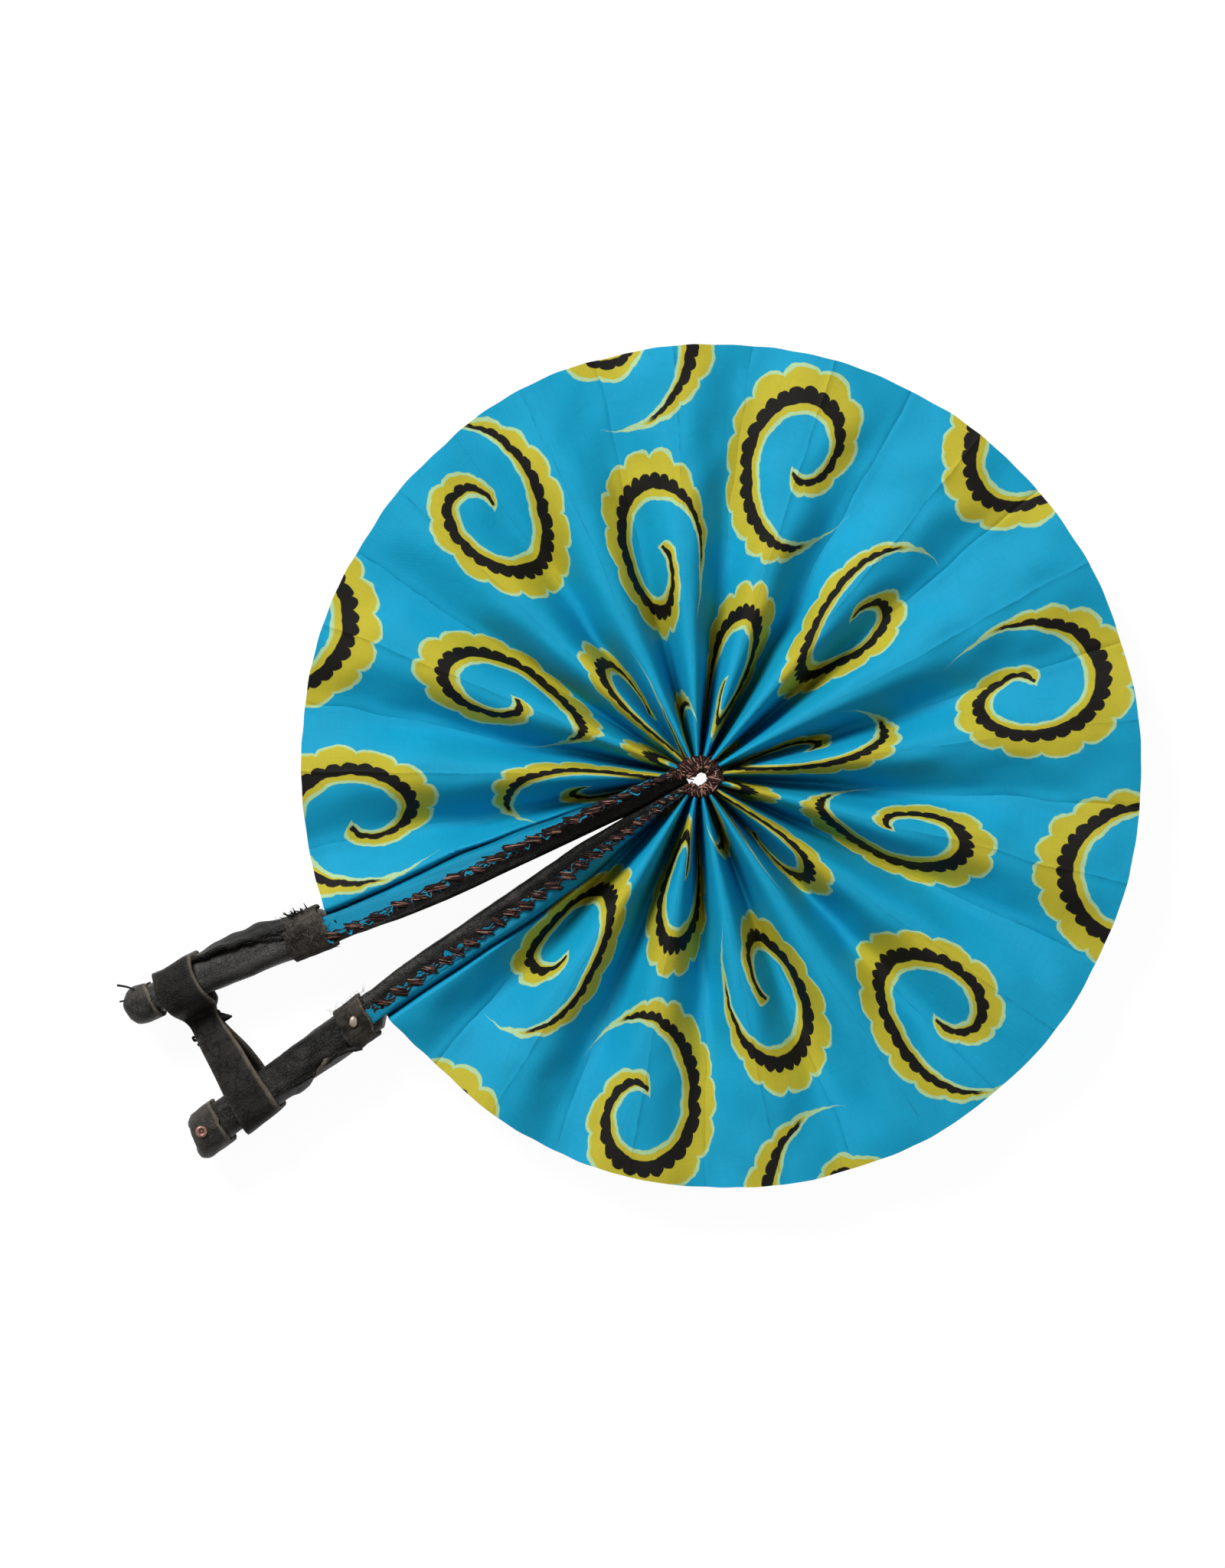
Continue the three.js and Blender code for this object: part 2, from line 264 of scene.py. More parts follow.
def tube(path, radius, sides, looped=False):
    """A round thread along a path. radius is a number or one for each point."""
    path = np.asarray(path, float)
    n = len(path)
    radius = np.broadcast_to(np.asarray(radius, float), (n,))
    if looped:
        tangent = np.roll(path, -1, 0) - np.roll(path, 1, 0)
    else:
        tangent = np.gradient(path, axis=0)
    tangent = tangent / np.maximum(np.linalg.norm(tangent, axis=1, keepdims=True), 1e-9)
    first = np.array([0.0, 0.0, 1.0]) if abs(tangent[0, 2]) < 0.9 else np.array([1.0, 0.0, 0.0])
    side = np.cross(tangent[0], first)
    rings = []
    angle = np.linspace(0, 2 * math.pi, sides, endpoint=False)[:, None]
    for k in range(n):
        side = side - tangent[k] * np.dot(side, tangent[k])
        side = side / max(np.linalg.norm(side), 1e-9)
        other = np.cross(tangent[k], side)
        rings.append(path[k] + radius[k] * (np.cos(angle) * side + np.sin(angle) * other))
    return loft(rings, looped)


def spline(points, count, closed=False):
    """A smooth line of count points through the given ones."""
    p = np.asarray(points, float)
    n = len(p)
    spans = n if closed else n - 1
    at = np.linspace(0, spans, count, endpoint=not closed)
    k = np.minimum(at.astype(int), spans - 1)
    t = (at - k)[:, None]

    def pick(i):
        return p[i % n] if closed else p[np.clip(i, 0, n - 1)]

    a, b, c, d = pick(k - 1), pick(k), pick(k + 1), pick(k + 2)
    return 0.5 * (2 * b + (c - a) * t + (2 * a - 5 * b + 4 * c - d) * t ** 2
                  + (3 * b - a - 3 * c + d) * t ** 3)


def resample(points, count):
    """count points at even distances along a closed line."""
    p = np.asarray(points, float)
    p = np.concatenate([p, p[:1]])
    step = np.linalg.norm(np.diff(p, axis=0), axis=1)
    far = np.concatenate([[0], np.cumsum(step)])
    want = np.linspace(0, far[-1], count, endpoint=False)
    return np.stack([np.interp(want, far, p[:, i]) for i in range(p.shape[1])], 1)


def row_point(x, y, z):
    return (x * MM + HUB_X, y * MM, z * MM)


def axes_at(azimuth):
    """Outward and sideways directions at an azimuth."""
    return (np.array([math.cos(azimuth), math.sin(azimuth), 0.0]),
            np.array([-math.sin(azimuth), math.cos(azimuth), 0.0]))


# Node trees

class Wire:
    """A value in a node tree, with arithmetic."""

    def __init__(self, tree, out):
        self.tree, self.out = tree, out

    def math(self, kind, *others):
        return new_node(self.tree, "Math", dict(enumerate((self, *others))), operation=kind)

    def __add__(self, other):
        return self.math("ADD", other)

    def __sub__(self, other):
        return self.math("SUBTRACT", other)

    def __mul__(self, other):
        return self.math("MULTIPLY", other)

    def __truediv__(self, other):
        return self.math("DIVIDE", other)

    def step(self, low, high):
        """0 below low, 1 above high, smooth between."""
        inputs = {"Value": self, "From Min": low, "From Max": high}
        return new_node(self.tree, "MapRange", inputs, interpolation_type="SMOOTHSTEP")

    def clamp(self):
        return self.math("MAXIMUM", 0.0).math("MINIMUM", 1.0)

    def flip(self):
        return self.math("MULTIPLY_ADD", -1.0, 1.0)

    def sin(self):
        return self.math("SINE")

    def cos(self):
        return self.math("COSINE")

    def floor(self):
        return self.math("FLOOR")

    def abs(self):
        return self.math("ABSOLUTE")


def feed(node, inputs):
    """Sets a node's inputs, by name or number. A wire is linked, and a number or a colour is kept."""
    for key, value in inputs.items():
        socket = node.inputs[key]
        if isinstance(value, Wire):
            value.tree.links.new(value.out, socket)
        elif socket.type == "RGBA":
            socket.default_value = (*value, 1.0)
        else:
            socket.default_value = value


def new_node(tree, kind, inputs, output=0, **settings):
    """The wire from an output of a new node."""
    node = tree.nodes.new("ShaderNode" + kind)
    for name, value in settings.items():
        setattr(node, name, value)
    feed(node, inputs)
    return Wire(tree, node.outputs[output])


def new_material(name):
    material = bpy.data.materials.new(name)
    material.use_nodes = True
    return material, material.node_tree.nodes["Principled BSDF"]


def object_place(material):
    return new_node(material.node_tree, "TexCoord", {}, "Object")


def mark(material, name, part="Fac"):
    return new_node(material.node_tree, "Attribute", {}, part, attribute_name=name)


def scaled(vector, x, y, z):
    return new_node(vector.tree, "Mapping", {"Vector": vector, "Scale": (x, y, z)})


def noise(vector, scale, detail=3.0, rough=0.55):
    inputs = {"Vector": vector, "Scale": scale, "Detail": detail, "Roughness": rough}
    return new_node(vector.tree, "TexNoise", inputs, "Fac")


def cells_at(vector, scale):
    """Distance to the edge of random cells."""
    inputs = {"Vector": vector, "Scale": scale}
    return new_node(vector.tree, "TexVoronoi", inputs, "Distance", feature="DISTANCE_TO_EDGE")


def blend_colour(share, first, second):
    """first where share is 0, second where it is 1. Each is a colour or a wire."""
    return new_node(share.tree, "Mix", {0: share, 6: first, 7: second}, 2, data_type="RGBA")


def shade_colour(colour, share):
    """colour times a number."""
    return new_node(colour.tree, "VectorMath", {0: colour, "Scale": share}, operation="SCALE")


def bump(height, strength, distance):
    inputs = {"Strength": strength, "Distance": distance, "Height": height}
    return new_node(height.tree, "Bump", inputs)


# Materials

BLUE = (0.004, 0.342, 0.566)
YELLOW = (0.525, 0.452, 0.030)
BLACK = (0.006, 0.005, 0.003)
CREAM = (0.430, 0.640, 0.335)
RAW_EDGE = (0.190, 0.155, 0.115)
PATINA = (0.10, 0.045, 0.03)
THREAD_PITCH = 0.62           # millimetres of cloth to a pair of threads


def scroll_print(place, u, v):
    """Colour of the print: scalloped spiral scrolls on blue, as if drawn by hand. u and v are millimetres."""
    shake = 3.4
    u = u + (noise(place, 0.12, 2.0) - 0.5) * shake
    v = v + (noise(scaled(place, 1, -1, 1), 0.11, 2.0) - 0.5) * shake

    # half-drop layout: a cell for each scroll, with every other column moved by half a cell
    wide, high, drop, squeeze = PANEL_CLOTH * CREASES / 12, 101.0, 9.0, 1.16
    column = (u / wide).floor()
    odd = column.math("FLOORED_MODULO", 2.0)
    v = v + odd * (high / 2) + drop
    row = (v / high).floor()
    x = (u - (column + 0.5) * wide) * (odd * -2.0 + 1.0)
    y = (v - (row + 0.5) * high) / squeeze

    # spiral arm round the cell's middle, turned differently in each cell
    turn = column * 2.1 + row * 1.3 + 0.4
    xr = x * turn.cos() + y * turn.sin()
    yr = y * turn.cos() - x * turn.sin()
    radius = (xr * xr + yr * yr).math("SQRT")
    angle = yr.math("ARCTAN2", xr)
    pitch, start, full = 25.0, 5.0, 2 * math.pi
    end = 1.34 * full
    arm = (radius - start) / pitch - angle / full
    lap = arm.math("ROUND")
    along = angle + lap * full
    off = (arm - lap) * pitch
    width = (along.step(0.0, 5.0) * 7.3 + 4.0) * along.step(end, end - 2.2) * along.step(0.1, 0.9)
    inside = along.math("GREATER_THAN", 0.2) * along.math("LESS_THAN", end)
    arc = along * start + along * along * (pitch / full / 2)

    def scallops(length):
        return (arc * (math.pi / length)).sin().abs().math("POWER", 0.6)

    def band(low, high_edge, trim, soft=0.22):
        return ((off - low).step(trim - soft, trim + soft)
                * (high_edge - off).step(trim - soft, trim + soft) * inside)

    inner, outer = width * -0.60, width * (scallops(11.0) * 0.30 + 0.86)
    line = band(width * -0.24, width * (scallops(5.5) * 0.17 + 0.17), 0.0) * width.step(2.0, 3.0)
    colour = blend_colour(band(inner, outer, 0.0), BLUE, CREAM)
    colour = blend_colour(band(inner, outer, 1.5), colour, YELLOW)
    return blend_colour(line, colour, BLACK)


def printed_cotton():
    """Wax printed cotton, with weave, uneven dye, wax crackle, and painted shade along some folds and in the
    pressed grooves.

    The mark "cloth" is a point's place on the flat cloth, in millimetres, and how much painted groove shade
    it has.
    """
    material, shader = new_material("printed_cotton")
    place = mark(material, "cloth", "Vector")
    u, v, groove_and_painted_shade = (new_node(place.tree, "SeparateXYZ", {0: place}, axis) for axis in range(3))
    blotch = noise(place, 0.035)
    warp = noise(scaled(place, 3.2, 0.05, 1), 1.0, 2.0)
    weft = noise(scaled(place, 0.05, 3.2, 1), 1.0, 2.0)
    crackle = cells_at(place, 0.11).step(0.0, 0.03)
    fold = ((u / PANEL_CLOTH + 0.5).math("FRACT") - 0.5).abs() * PANEL_CLOTH
    painted_light_amount = noise(scaled(place, 0.03, 0.11, 1), 1.0, 2.0).step(0.40, 0.70)
    tone = blotch * 0.26 + warp * 0.20 + weft * 0.20 + 0.67
    tone = tone * (crackle * 0.05 + 0.95)
    # painted crease shade: a thin darker line along the folds, stronger on some of them
    tone = tone * (fold.step(0.65, 0.10) * (painted_light_amount * 0.26 + 0.015)).flip()
    # painted shade: darker in the pressed grooves and on the strip between a guard and its groove
    tone = tone * (groove_and_painted_shade * 0.55).flip()

    thread = 2 * math.pi / THREAD_PITCH
    weave = (u * thread).sin() * (v * thread).sin()
    slub = warp + weft
    feed(shader, {
        "Base Color": shade_colour(scroll_print(place, u, v), tone), "Roughness": slub * 0.12 + 0.50,
        "Specular IOR Level": 0.19, "Normal": bump(weave * 0.5 + slub * 0.8, 0.35, 0.00025),
    })
    return material


def leather(name, dark, light, rough, grain, sheen, suede=0.0):
    """Vegetable tanned leather: grain cells, creases, high places lightened by rubbing, painted highlights
    and shade, and raw cut edges.

    One mark is how much lighter a point is, from wear and from painted highlights, or how much darker, on the
    welts partly from painted shade; the mark "raw" is how near it is to a cut edge.
    """
    material, shader = new_material(name)
    place = object_place(material)
    cells = cells_at(place, 1000.0).step(0.0, 0.32)
    fine = noise(place, 2600.0, 2.0)
    patch = noise(place, 85.0, 5.0, 0.66)
    streak = noise(scaled(place, 0.14, 1.0, 1.0), 480.0, 3.0, 0.6)
    crease = noise(scaled(place, 0.7, 0.5, 0.6), 210.0, 4.0, 0.62)
    lines = (crease - 0.5).abs().step(0.0, 0.03)
    worn, cut = mark(material, "worn"), mark(material, "raw")
    # lighter with wear and painted highlights, darker with painted shade
    share = (patch - 0.5) * 1.9 + (streak - 0.5) + (fine - 0.5) * (1.3 * suede) + worn * 0.7 + 0.24
    edge = (cut * (fine * 0.6 + 0.5) * (patch * 0.8 + 0.55)).math("MINIMUM", 1.0)
    colour = blend_colour(edge, blend_colour(share.clamp(), dark, light), RAW_EDGE)
    height = cells * grain + fine * 0.35 + lines + streak * (0.5 + suede)
    feed(shader, {
        "Base Color": shade_colour(colour, (cells * 0.24 + 0.76) * (lines * 0.30 + 0.70)),
        "Roughness": patch * 0.22 + fine * 0.12 + edge * 0.2 + (rough - 0.17),
        "Specular IOR Level": (worn * (1.1 * sheen) + sheen).math("MAXIMUM", 0.02),
        "Normal": bump(height, 0.6, 0.0003),
    })
    return material


def thread_look(name, dark, middle, pale):
    """Twisted cotton thread, with plies and uneven dye. The mark "tone" runs from dark to pale."""
    material, shader = new_material(name)
    place = object_place(material)
    ply, patch = noise(place, 1500.0, 2.0), noise(place, 300.0)
    share = mark(material, "tone") + (ply - 0.5) * 0.5 + (patch - 0.5) * 0.5
    colour = blend_colour(share.step(0.0, 0.6), dark, middle)
    feed(shader, {
        "Base Color": blend_colour(share.step(0.55, 1.1), colour, pale),
        "Roughness": patch * 0.2 + 0.62, "Specular IOR Level": 0.25,
        "Normal": bump(ply * 0.7 + patch * 0.3, 0.6, 0.0003),
    })
    return material


def copper_look(name, bright, metallic):
    """Hammered copper with a brown patina in its hollows, as the mark "hollow" says."""
    material, shader = new_material(name)
    place = object_place(material)
    share = ((noise(place, 700.0, 4.0, 0.6) - 0.42) * 1.6 + mark(material, "hollow")).clamp()
    feed(shader, {
        "Base Color": blend_colour(share, bright, PATINA), "Metallic": metallic,
        "Roughness": share * 0.35 + 0.32, "Normal": bump(noise(place, 1500.0), 0.4, 0.0002),
    })
    return material


def wood_look():
    """Split hardwood stick, with long grain."""
    material, shader = new_material("stick_wood")
    place = object_place(material)
    grain = noise(scaled(place, 0.06, 1.0, 1.0), 700.0, 4.0, 0.6)
    patch = noise(scaled(place, 0.2, 1.0, 1.0), 90.0)
    share = (grain * 0.7 + patch * 0.4 - 0.1).math("MINIMUM", 1.0)
    feed(shader, {
        "Base Color": blend_colour(share, (0.20, 0.11, 0.05), (0.46, 0.30, 0.16)),
        "Roughness": grain * 0.2 + 0.55, "Normal": bump(grain, 0.5, 0.0003),
    })
    return material


COTTON = printed_cotton()
COVER = leather("cover_leather", (0.0050, 0.0046, 0.0040), (0.066, 0.062, 0.054), 0.50, 0.7, 0.23)
STRAP = leather("strap_leather", (0.0080, 0.0068, 0.0052), (0.032, 0.028, 0.022), 0.56, 0.8, 0.17)
CAP = leather("cap_leather", (0.014, 0.012, 0.010), (0.092, 0.080, 0.066), 0.52, 0.8, 0.28)
COLLAR = leather("collar_leather", (0.012, 0.0098, 0.0078), (0.115, 0.098, 0.078), 0.74, 0.5, 0.15, 0.9)
LACING = thread_look("lacing_thread", (0.011, 0.005, 0.004), (0.085, 0.026, 0.019), (0.40, 0.21, 0.15))
BLACK_THREAD = thread_look(
    "black_thread", (0.006, 0.005, 0.005), (0.026, 0.023, 0.020), (0.16, 0.14, 0.12))
COPPER = copper_look("tack_copper", (0.47, 0.26, 0.19), 0.7)
WORN_COPPER = copper_look("worn_copper", (0.56, 0.46, 0.36), 0.5)
WOOD = wood_look()

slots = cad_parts["lower_stick"].data.materials
slots.clear()
slots.append(WOOD)


# Pleated leaf

ROWS, COLUMNS = 58, 16
ROW_POWER = 1.12              # over 1, so that rows lie closer together near the hub
GROOVE_SHARE = 0.72           # of a grooved panel's width, from its ridge, that has fine columns
RIM_RIPPLE = 0.22
START_DRAWN_IN = 1.3
GROOVE_DEPTH, GROOVE_HALF = 8.0, 1.05
# distance from a guard to the pressed groove beside it, at distances from the hub
GROOVES = {
    1: ((36, 70, 104, 122, 140, 160), (4.0, 5.6, 5.6, 3.8, 2.4, 1.4)),
    CREASES: ((35, 49, 63, 103, 150, 165), (4.0, 5.9, 7.2, 5.7, 2.6, 1.8)),
}
# by how much the cloth lets its rim out, at what azimuth and over what width, in degrees
RIM_STRETCH = ((3.1, -74, 36), (1.8, 86, 16), (-1.2, 150, 16), (-3.4, -160, 15))
# height of the pressed line on a ridge or in a valley, and its half width
RIDGE_PRESS, RIDGE_PRESS_HALF = 0.5, 0.7
VALLEY_PRESS, VALLEY_PRESS_HALF = 0.7, 0.8
leaf_rng = np.random.default_rng(41)
valley_lean = leaf_rng.uniform(-1, 1, CREASES + 1)
valley_lift = leaf_rng.uniform(0, 1, CREASES + 1)
crease_press = leaf_rng.uniform(0.25, 1, CREASES + 1)
crease_press[[0, CREASES]] = 0
crease_wander = [line_wave(300 + j, 22, 110) for j in range(CREASES + 1)]
ripple = wave_field(77, 16, 70, 14)
rim_ripple = line_wave(91, 9, 60, 12)


def rim_at(azimuth):
    across = HUB_OFFSET * np.sin(azimuth)
    return HUB_OFFSET * np.cos(azimuth) + np.sqrt(LEAF_RADIUS ** 2 - across ** 2)


def stretched_rim(azimuth):
    """Radius of the rim where the cloth lets it out, or draws it in beside the lower guard."""
    rim = rim_at(azimuth)
    for by, degrees, width in RIM_STRETCH:
        rim = rim + by * np.exp(-((azimuth - math.radians(degrees)) / math.radians(width)) ** 2)
    return rim


def leaf_start(azimuth):
    """Radius of the leaf's gathered edge, which is less tall than it is wide in the photograph."""
    return LEAF_START - START_DRAWN_IN * np.sin(azimuth - VIEW_TURN) ** 2


def raw_depth(radius):
    tilt = SHUT_TILT - PANEL_SWING * smooth01((radius + HUB_OFFSET) / RIDGE_REACH)
    return radius * CREASE_STEP * np.tan(np.radians(tilt))


DEEPEST = raw_depth(np.arange(LEAF_START, LEAF_RADIUS, 1.0)).max()


def fold_depth(radius):
    return raw_depth(radius) * (RIDGE_TOP - PLEAT_FLOOR) / DEEPEST


def fold_share(t, top, foot):
    """Share of a fold's depth at a share t of its width, with a rounded top and foot."""
    fine = np.linspace(0, 1, 241)
    slope = smooth01(fine / top) * smooth01((1 - fine) / foot)
    fall = np.concatenate([[0], np.cumsum((slope[1:] + slope[:-1]) / 2)])
    return np.interp(t, fine, fall / fall[-1])


def crease_azimuth(j):
    return math.pi - EDGE_ANGLE - j * CREASE_STEP


def crease_shift(j, radius):
    """Sideways departure of a crease from its straight line, in millimetres."""
    if j in (0, CREASES):
        return np.zeros_like(radius)
    mid = smooth01((radius - 25) / 60)
    if j % 2 == 0:
        return 0.45 * mid * crease_wander[j](radius)
    return mid * (1.7 * valley_lean[j] + 0.8 * crease_wander[j](radius))


def panel_ends(i):
    """The creases at a panel's ridge and at its valley."""
    return (i - 1, i) if i % 2 else (i, i - 1)


def panel_grid(i):
    """A panel's points, their places on the flat cloth with their painted groove shade, and its columns'
    azimuths.
    """
    ridge, valley = panel_ends(i)
    a_ridge, a_valley = crease_azimuth(ridge), crease_azimuth(valley)
    t = 0.5 - 0.5 * np.cos(np.linspace(0, math.pi, COLUMNS + 1))
    t = 0.35 * np.linspace(0, 1, COLUMNS + 1) + 0.65 * t
    if i in GROOVES:
        t = np.concatenate([np.linspace(0, GROOVE_SHARE, 37), np.linspace(GROOVE_SHARE, 1, 8)[1:]])
    straight = a_ridge + (a_valley - a_ridge) * t
    strip = PANEL_CLOTH * (i - 1 + (t if i % 2 else 1 - t))
    start = leaf_start(straight)
    rim = stretched_rim(straight) + RIM_RIPPLE * rim_ripple(strip)
    grid, cloth = [], []
    for k in range(ROWS + 1):
        radius = start + (rim - start) * (k / ROWS) ** ROW_POWER
        shift = (1 - t) * crease_shift(ridge, radius) + t * crease_shift(valley, radius)
        azimuth = straight + shift / radius
        out = smooth01((radius.mean() - 15) / 140)
        top, foot = 0.62 - 0.12 * out, 0.20 + 0.08 * out
        uneven = smooth01((radius - 55) / 60) * (0.26 - 0.46 * valley_lift[valley])
        z = RIDGE_TOP - CLOTH / 2 - fold_depth(radius) * (1 + uneven) * fold_share(t, top, foot)
        from_ridge, from_valley = t * radius * CREASE_STEP, (1 - t) * radius * CREASE_STEP
        z += RIDGE_PRESS * out * crease_press[ridge] * np.exp(-(from_ridge / RIDGE_PRESS_HALF) ** 2)
        z -= VALLEY_PRESS * out * crease_press[valley] * np.exp(-(from_valley / VALLEY_PRESS_HALF) ** 2)
        # the pressed groove's depth, which is also painted into the cloth's colour as shade
        groove_and_painted_shade = np.zeros_like(t)
        if i in GROOVES:
            past = from_ridge - np.interp(radius, *GROOVES[i])
            groove_and_painted_shade = np.exp(-(past / GROOVE_HALF) ** 2) * smooth01((radius - 20) / 26)
            groove_and_painted_shade *= 0.85 + 0.15 * crease_wander[ridge](radius)
            z -= GROOVE_DEPTH * groove_and_painted_shade
            # painted shade also on the strip between the guard and the groove
            groove_and_painted_shade = np.maximum(groove_and_painted_shade, 0.45 * smooth01((1.0 - past) / 2))
        z += ripple(strip, radius) * 4 * t * (1 - t) * (0.15 + 0.75 * out)
        grid.append(np.stack([radius * np.cos(azimuth), radius * np.sin(azimuth), z], 1))
        cloth.append(np.stack([strip, radius, groove_and_painted_shade], 1))
    return np.array(grid), np.array(cloth), straight


def panel_skin(grid, straight):
    """A panel with the cloth's thickness. Its side edges stay upright over their creases."""
    n = grid_normals(grid, (0, 0, 1))
    for m in (0, -1):
        _, sideways = axes_at(straight[m])
        n[:, m] -= (n[:, m] @ sideways)[:, None] * sideways
        n[:, m] /= np.linalg.norm(n[:, m], axis=1, keepdims=True)
    return shell(grid + n * CLOTH / 2, grid - n * CLOTH / 2)


def keep_cloth(made, cloth):
    """Keeps each point's place on the flat cloth and its painted groove shade, on both of its sides."""
    both = np.concatenate([cloth.reshape(-1, 3)] * 2).astype(np.float32)
    field = made.data.attributes.new("cloth", "FLOAT_VECTOR", "POINT")
    field.data.foreach_set("vector", both.ravel())


cloth_pieces = {}
for i in range(1, CREASES + 1):
    grid, cloth, straight = panel_grid(i)
    build = Build()
    build.add(panel_skin(grid, straight))
    made = build.piece(f"cloth_{i:02d}", COTTON, None, "printed_cotton", f"panel_{i:02d}")
    keep_cloth(made, cloth)
    ridge, _ = panel_ends(i)
    azimuth = crease_azimuth(ridge)
    near, far = -HUB_OFFSET, RIDGE_REACH - HUB_OFFSET
    row_point(near * math.cos(azimuth), near * math.sin(azimuth), RIDGE_TOP)
    row_point(far * math.cos(azimuth), far * math.sin(azimuth), RIDGE_TOP)
    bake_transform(made)
    cloth_pieces[i] = made


# Lines and sections of the guards

# how far a guard's inner side bulges into the gap, at distances from the hub
GAP_EASE = {
    1: ((38, 75, 93, 105, 117, 128, 140, 151, 160), (0, 1.1, 1.5, 2.0, 2.2, 2.0, 1.6, 0.5, 0)),
    -1: ((34, 47, 60, 73, 99, 126, 140, 154, 165), (0, 0.8, 1.8, 1.5, 1.2, 1.1, 1.3, 0.9, 0)),
}
# across distance of the row of stitches, at distances from the hub
STITCH_LINES = {
    1: ((5, 9, 15, 24, 35, 57, 90, 127, 170), (3.4, 6.3, 7.0, 7.7, 8.6, 9.6, 10.9, 12.6, 15.8)),
    -1: ((5, 9, 20, 67, 120, 170), (0.9, 1.8, 3.2, 9.2, 14.9, 20.0)),
}
# two points (s, across) of the line that a guard's tip is drawn in to when the fan is shut, and the
# share of its width that it keeps
TIP_LINES = {1: ((5.0, 0.9), (42.0, 9.0), 0.16), -1: ((5.0, 0.9), (42.0, 6.0), 0.3)}
TIP_START, TIP_END = 4.9, 41.0
AROUND = 56
turn_share = np.arange(AROUND) / AROUND
corner_share = np.sin(2 * math.pi * turn_share * 2) ** 2


def inner_face(s):
    return GUARD_GAP / 2 + np.maximum(0, s - TOUCH_REACH) * math.tan(INNER_ANGLE)


def gap_face(side, s):
    """Across distance of a guard's inner side, where its leather bulges into the gap."""
    return inner_face(s) - np.interp(s, *GAP_EASE[side])


def leaf_line(s):
    return s * math.tan(EDGE_ANGLE)


def leaf_face(s):
    return leaf_line(s) - GUARD_GAP / 2


def handle_middle(s):
    return s * math.tan(HANDLE_ANGLE)


def stitch_line(side, s):
    """Across distance of the row of stitches, where a guard's leather ends and its cloth starts."""
    return np.interp(s, *STITCH_LINES[side])


def guard_top(s):
    """Height of a guard's top, which falls to the handle's at the end of the laced length."""
    return np.interp(s, (0, LEAF_END - 4, LEAF_END + 6), (RIDGE_TOP, RIDGE_TOP, HANDLE_HIGH - 0.2))


def tip_line(side, s):
    """Across distance of the line that a guard's tip is drawn in to when the fan is shut."""
    (a, b), (c, d), _ = TIP_LINES[side]
    return b + (s - a) * (d - b) / (c - a)


def give_way(made, side):
    """Gives a piece at a guard's tip a mesh of its own."""
    (a, b), (c, d), keep = TIP_LINES[side]
    row_point(-a, side * b, 0)
    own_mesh(made)


def rounded_ring(low, high, bottom, top, corner):
    """(across, z) of points round a rounded rectangle, from its top's middle towards its outer side."""
    r = min(corner, (high - low) / 2.2, (top - bottom) / 2.2)
    quarter = np.linspace(0, math.pi / 2, 9)
    sin, cos = r * np.sin(quarter), r * np.cos(quarter)
    points = [((high + low) / 2, top)]
    points += zip(high - r + sin, top - r + cos)
    points += zip(high - r + cos, bottom + r - sin)
    points += zip(low + r - sin, bottom + r - cos)
    points += zip(low + r - cos, top - r + sin)
    return resample(points, AROUND)


def laced_section(side, s):
    return rounded_ring(gap_face(side, s), leaf_face(s), 0.0, RIDGE_TOP, CORNER)


def narrowing(side, s):
    """How far the upper handle's outer side draws in towards its end."""
    return NARROW_BY * smooth01((s - NARROW_FROM) / NARROW_LENGTH) if side > 0 else 0.0


def handle_section(s, grow=0.0, trim=0.0):
    middle = handle_middle(s)
    return rounded_ring(middle - HANDLE_HALF - grow, middle + HANDLE_HALF + grow - trim,
                        HANDLE_LOW - grow, HANDLE_HIGH + grow, HANDLE_CORNER + grow)


def place_ring(side, s, section):
    """A section's points. s is a number or one for each point."""
    s = np.broadcast_to(np.asarray(s, float), (len(section),))
    return np.stack([-s, side * section[:, 0], section[:, 1]], 1)


def swell(section, amount):
    """A section moved outwards by an amount for each point."""
    along = np.roll(section, -1, 0) - np.roll(section, 1, 0)
    out = np.stack([-along[:, 1], along[:, 0]], 1)
    out /= np.maximum(np.linalg.norm(out, axis=1, keepdims=True), 1e-9)
    if ((section - section.mean(0)) * out).sum() < 0:
        out = -out
    return section + out * amount[:, None]


def ring_place(section):
    """Distance round a section, for the ripples on it."""
    step = np.linalg.norm(np.roll(section, -1, 0) - section, axis=1)
    return np.concatenate([[0], np.cumsum(step)[:-1]])


# Leather of the guards

# wear of a handle all round, and a painted highlight band along it: how much lighter it is, at what share of
# the way round, over what width
HANDLE_WEAR_AND_HIGHLIGHT = {1: (0.35, 0.6, 0.465, 0.03), -1: (-0.42, 0.5, 0.53, 0.08)}
# how dark a welt is near the hub: its leather's own dark tone, deepened with painted shade
WELT_TONE_AND_SHADE = {1: -0.82, -1: -0.55}
WELT_ABOVE, WELT_BELOW = 0.1, 0.6   # of its leather, from its grid
# the part of a welt that rolls over the corner: as a share of its leather, and of its width from above
ROLL_SHARE, ROLL_WIDTH = 0.2, 0.16
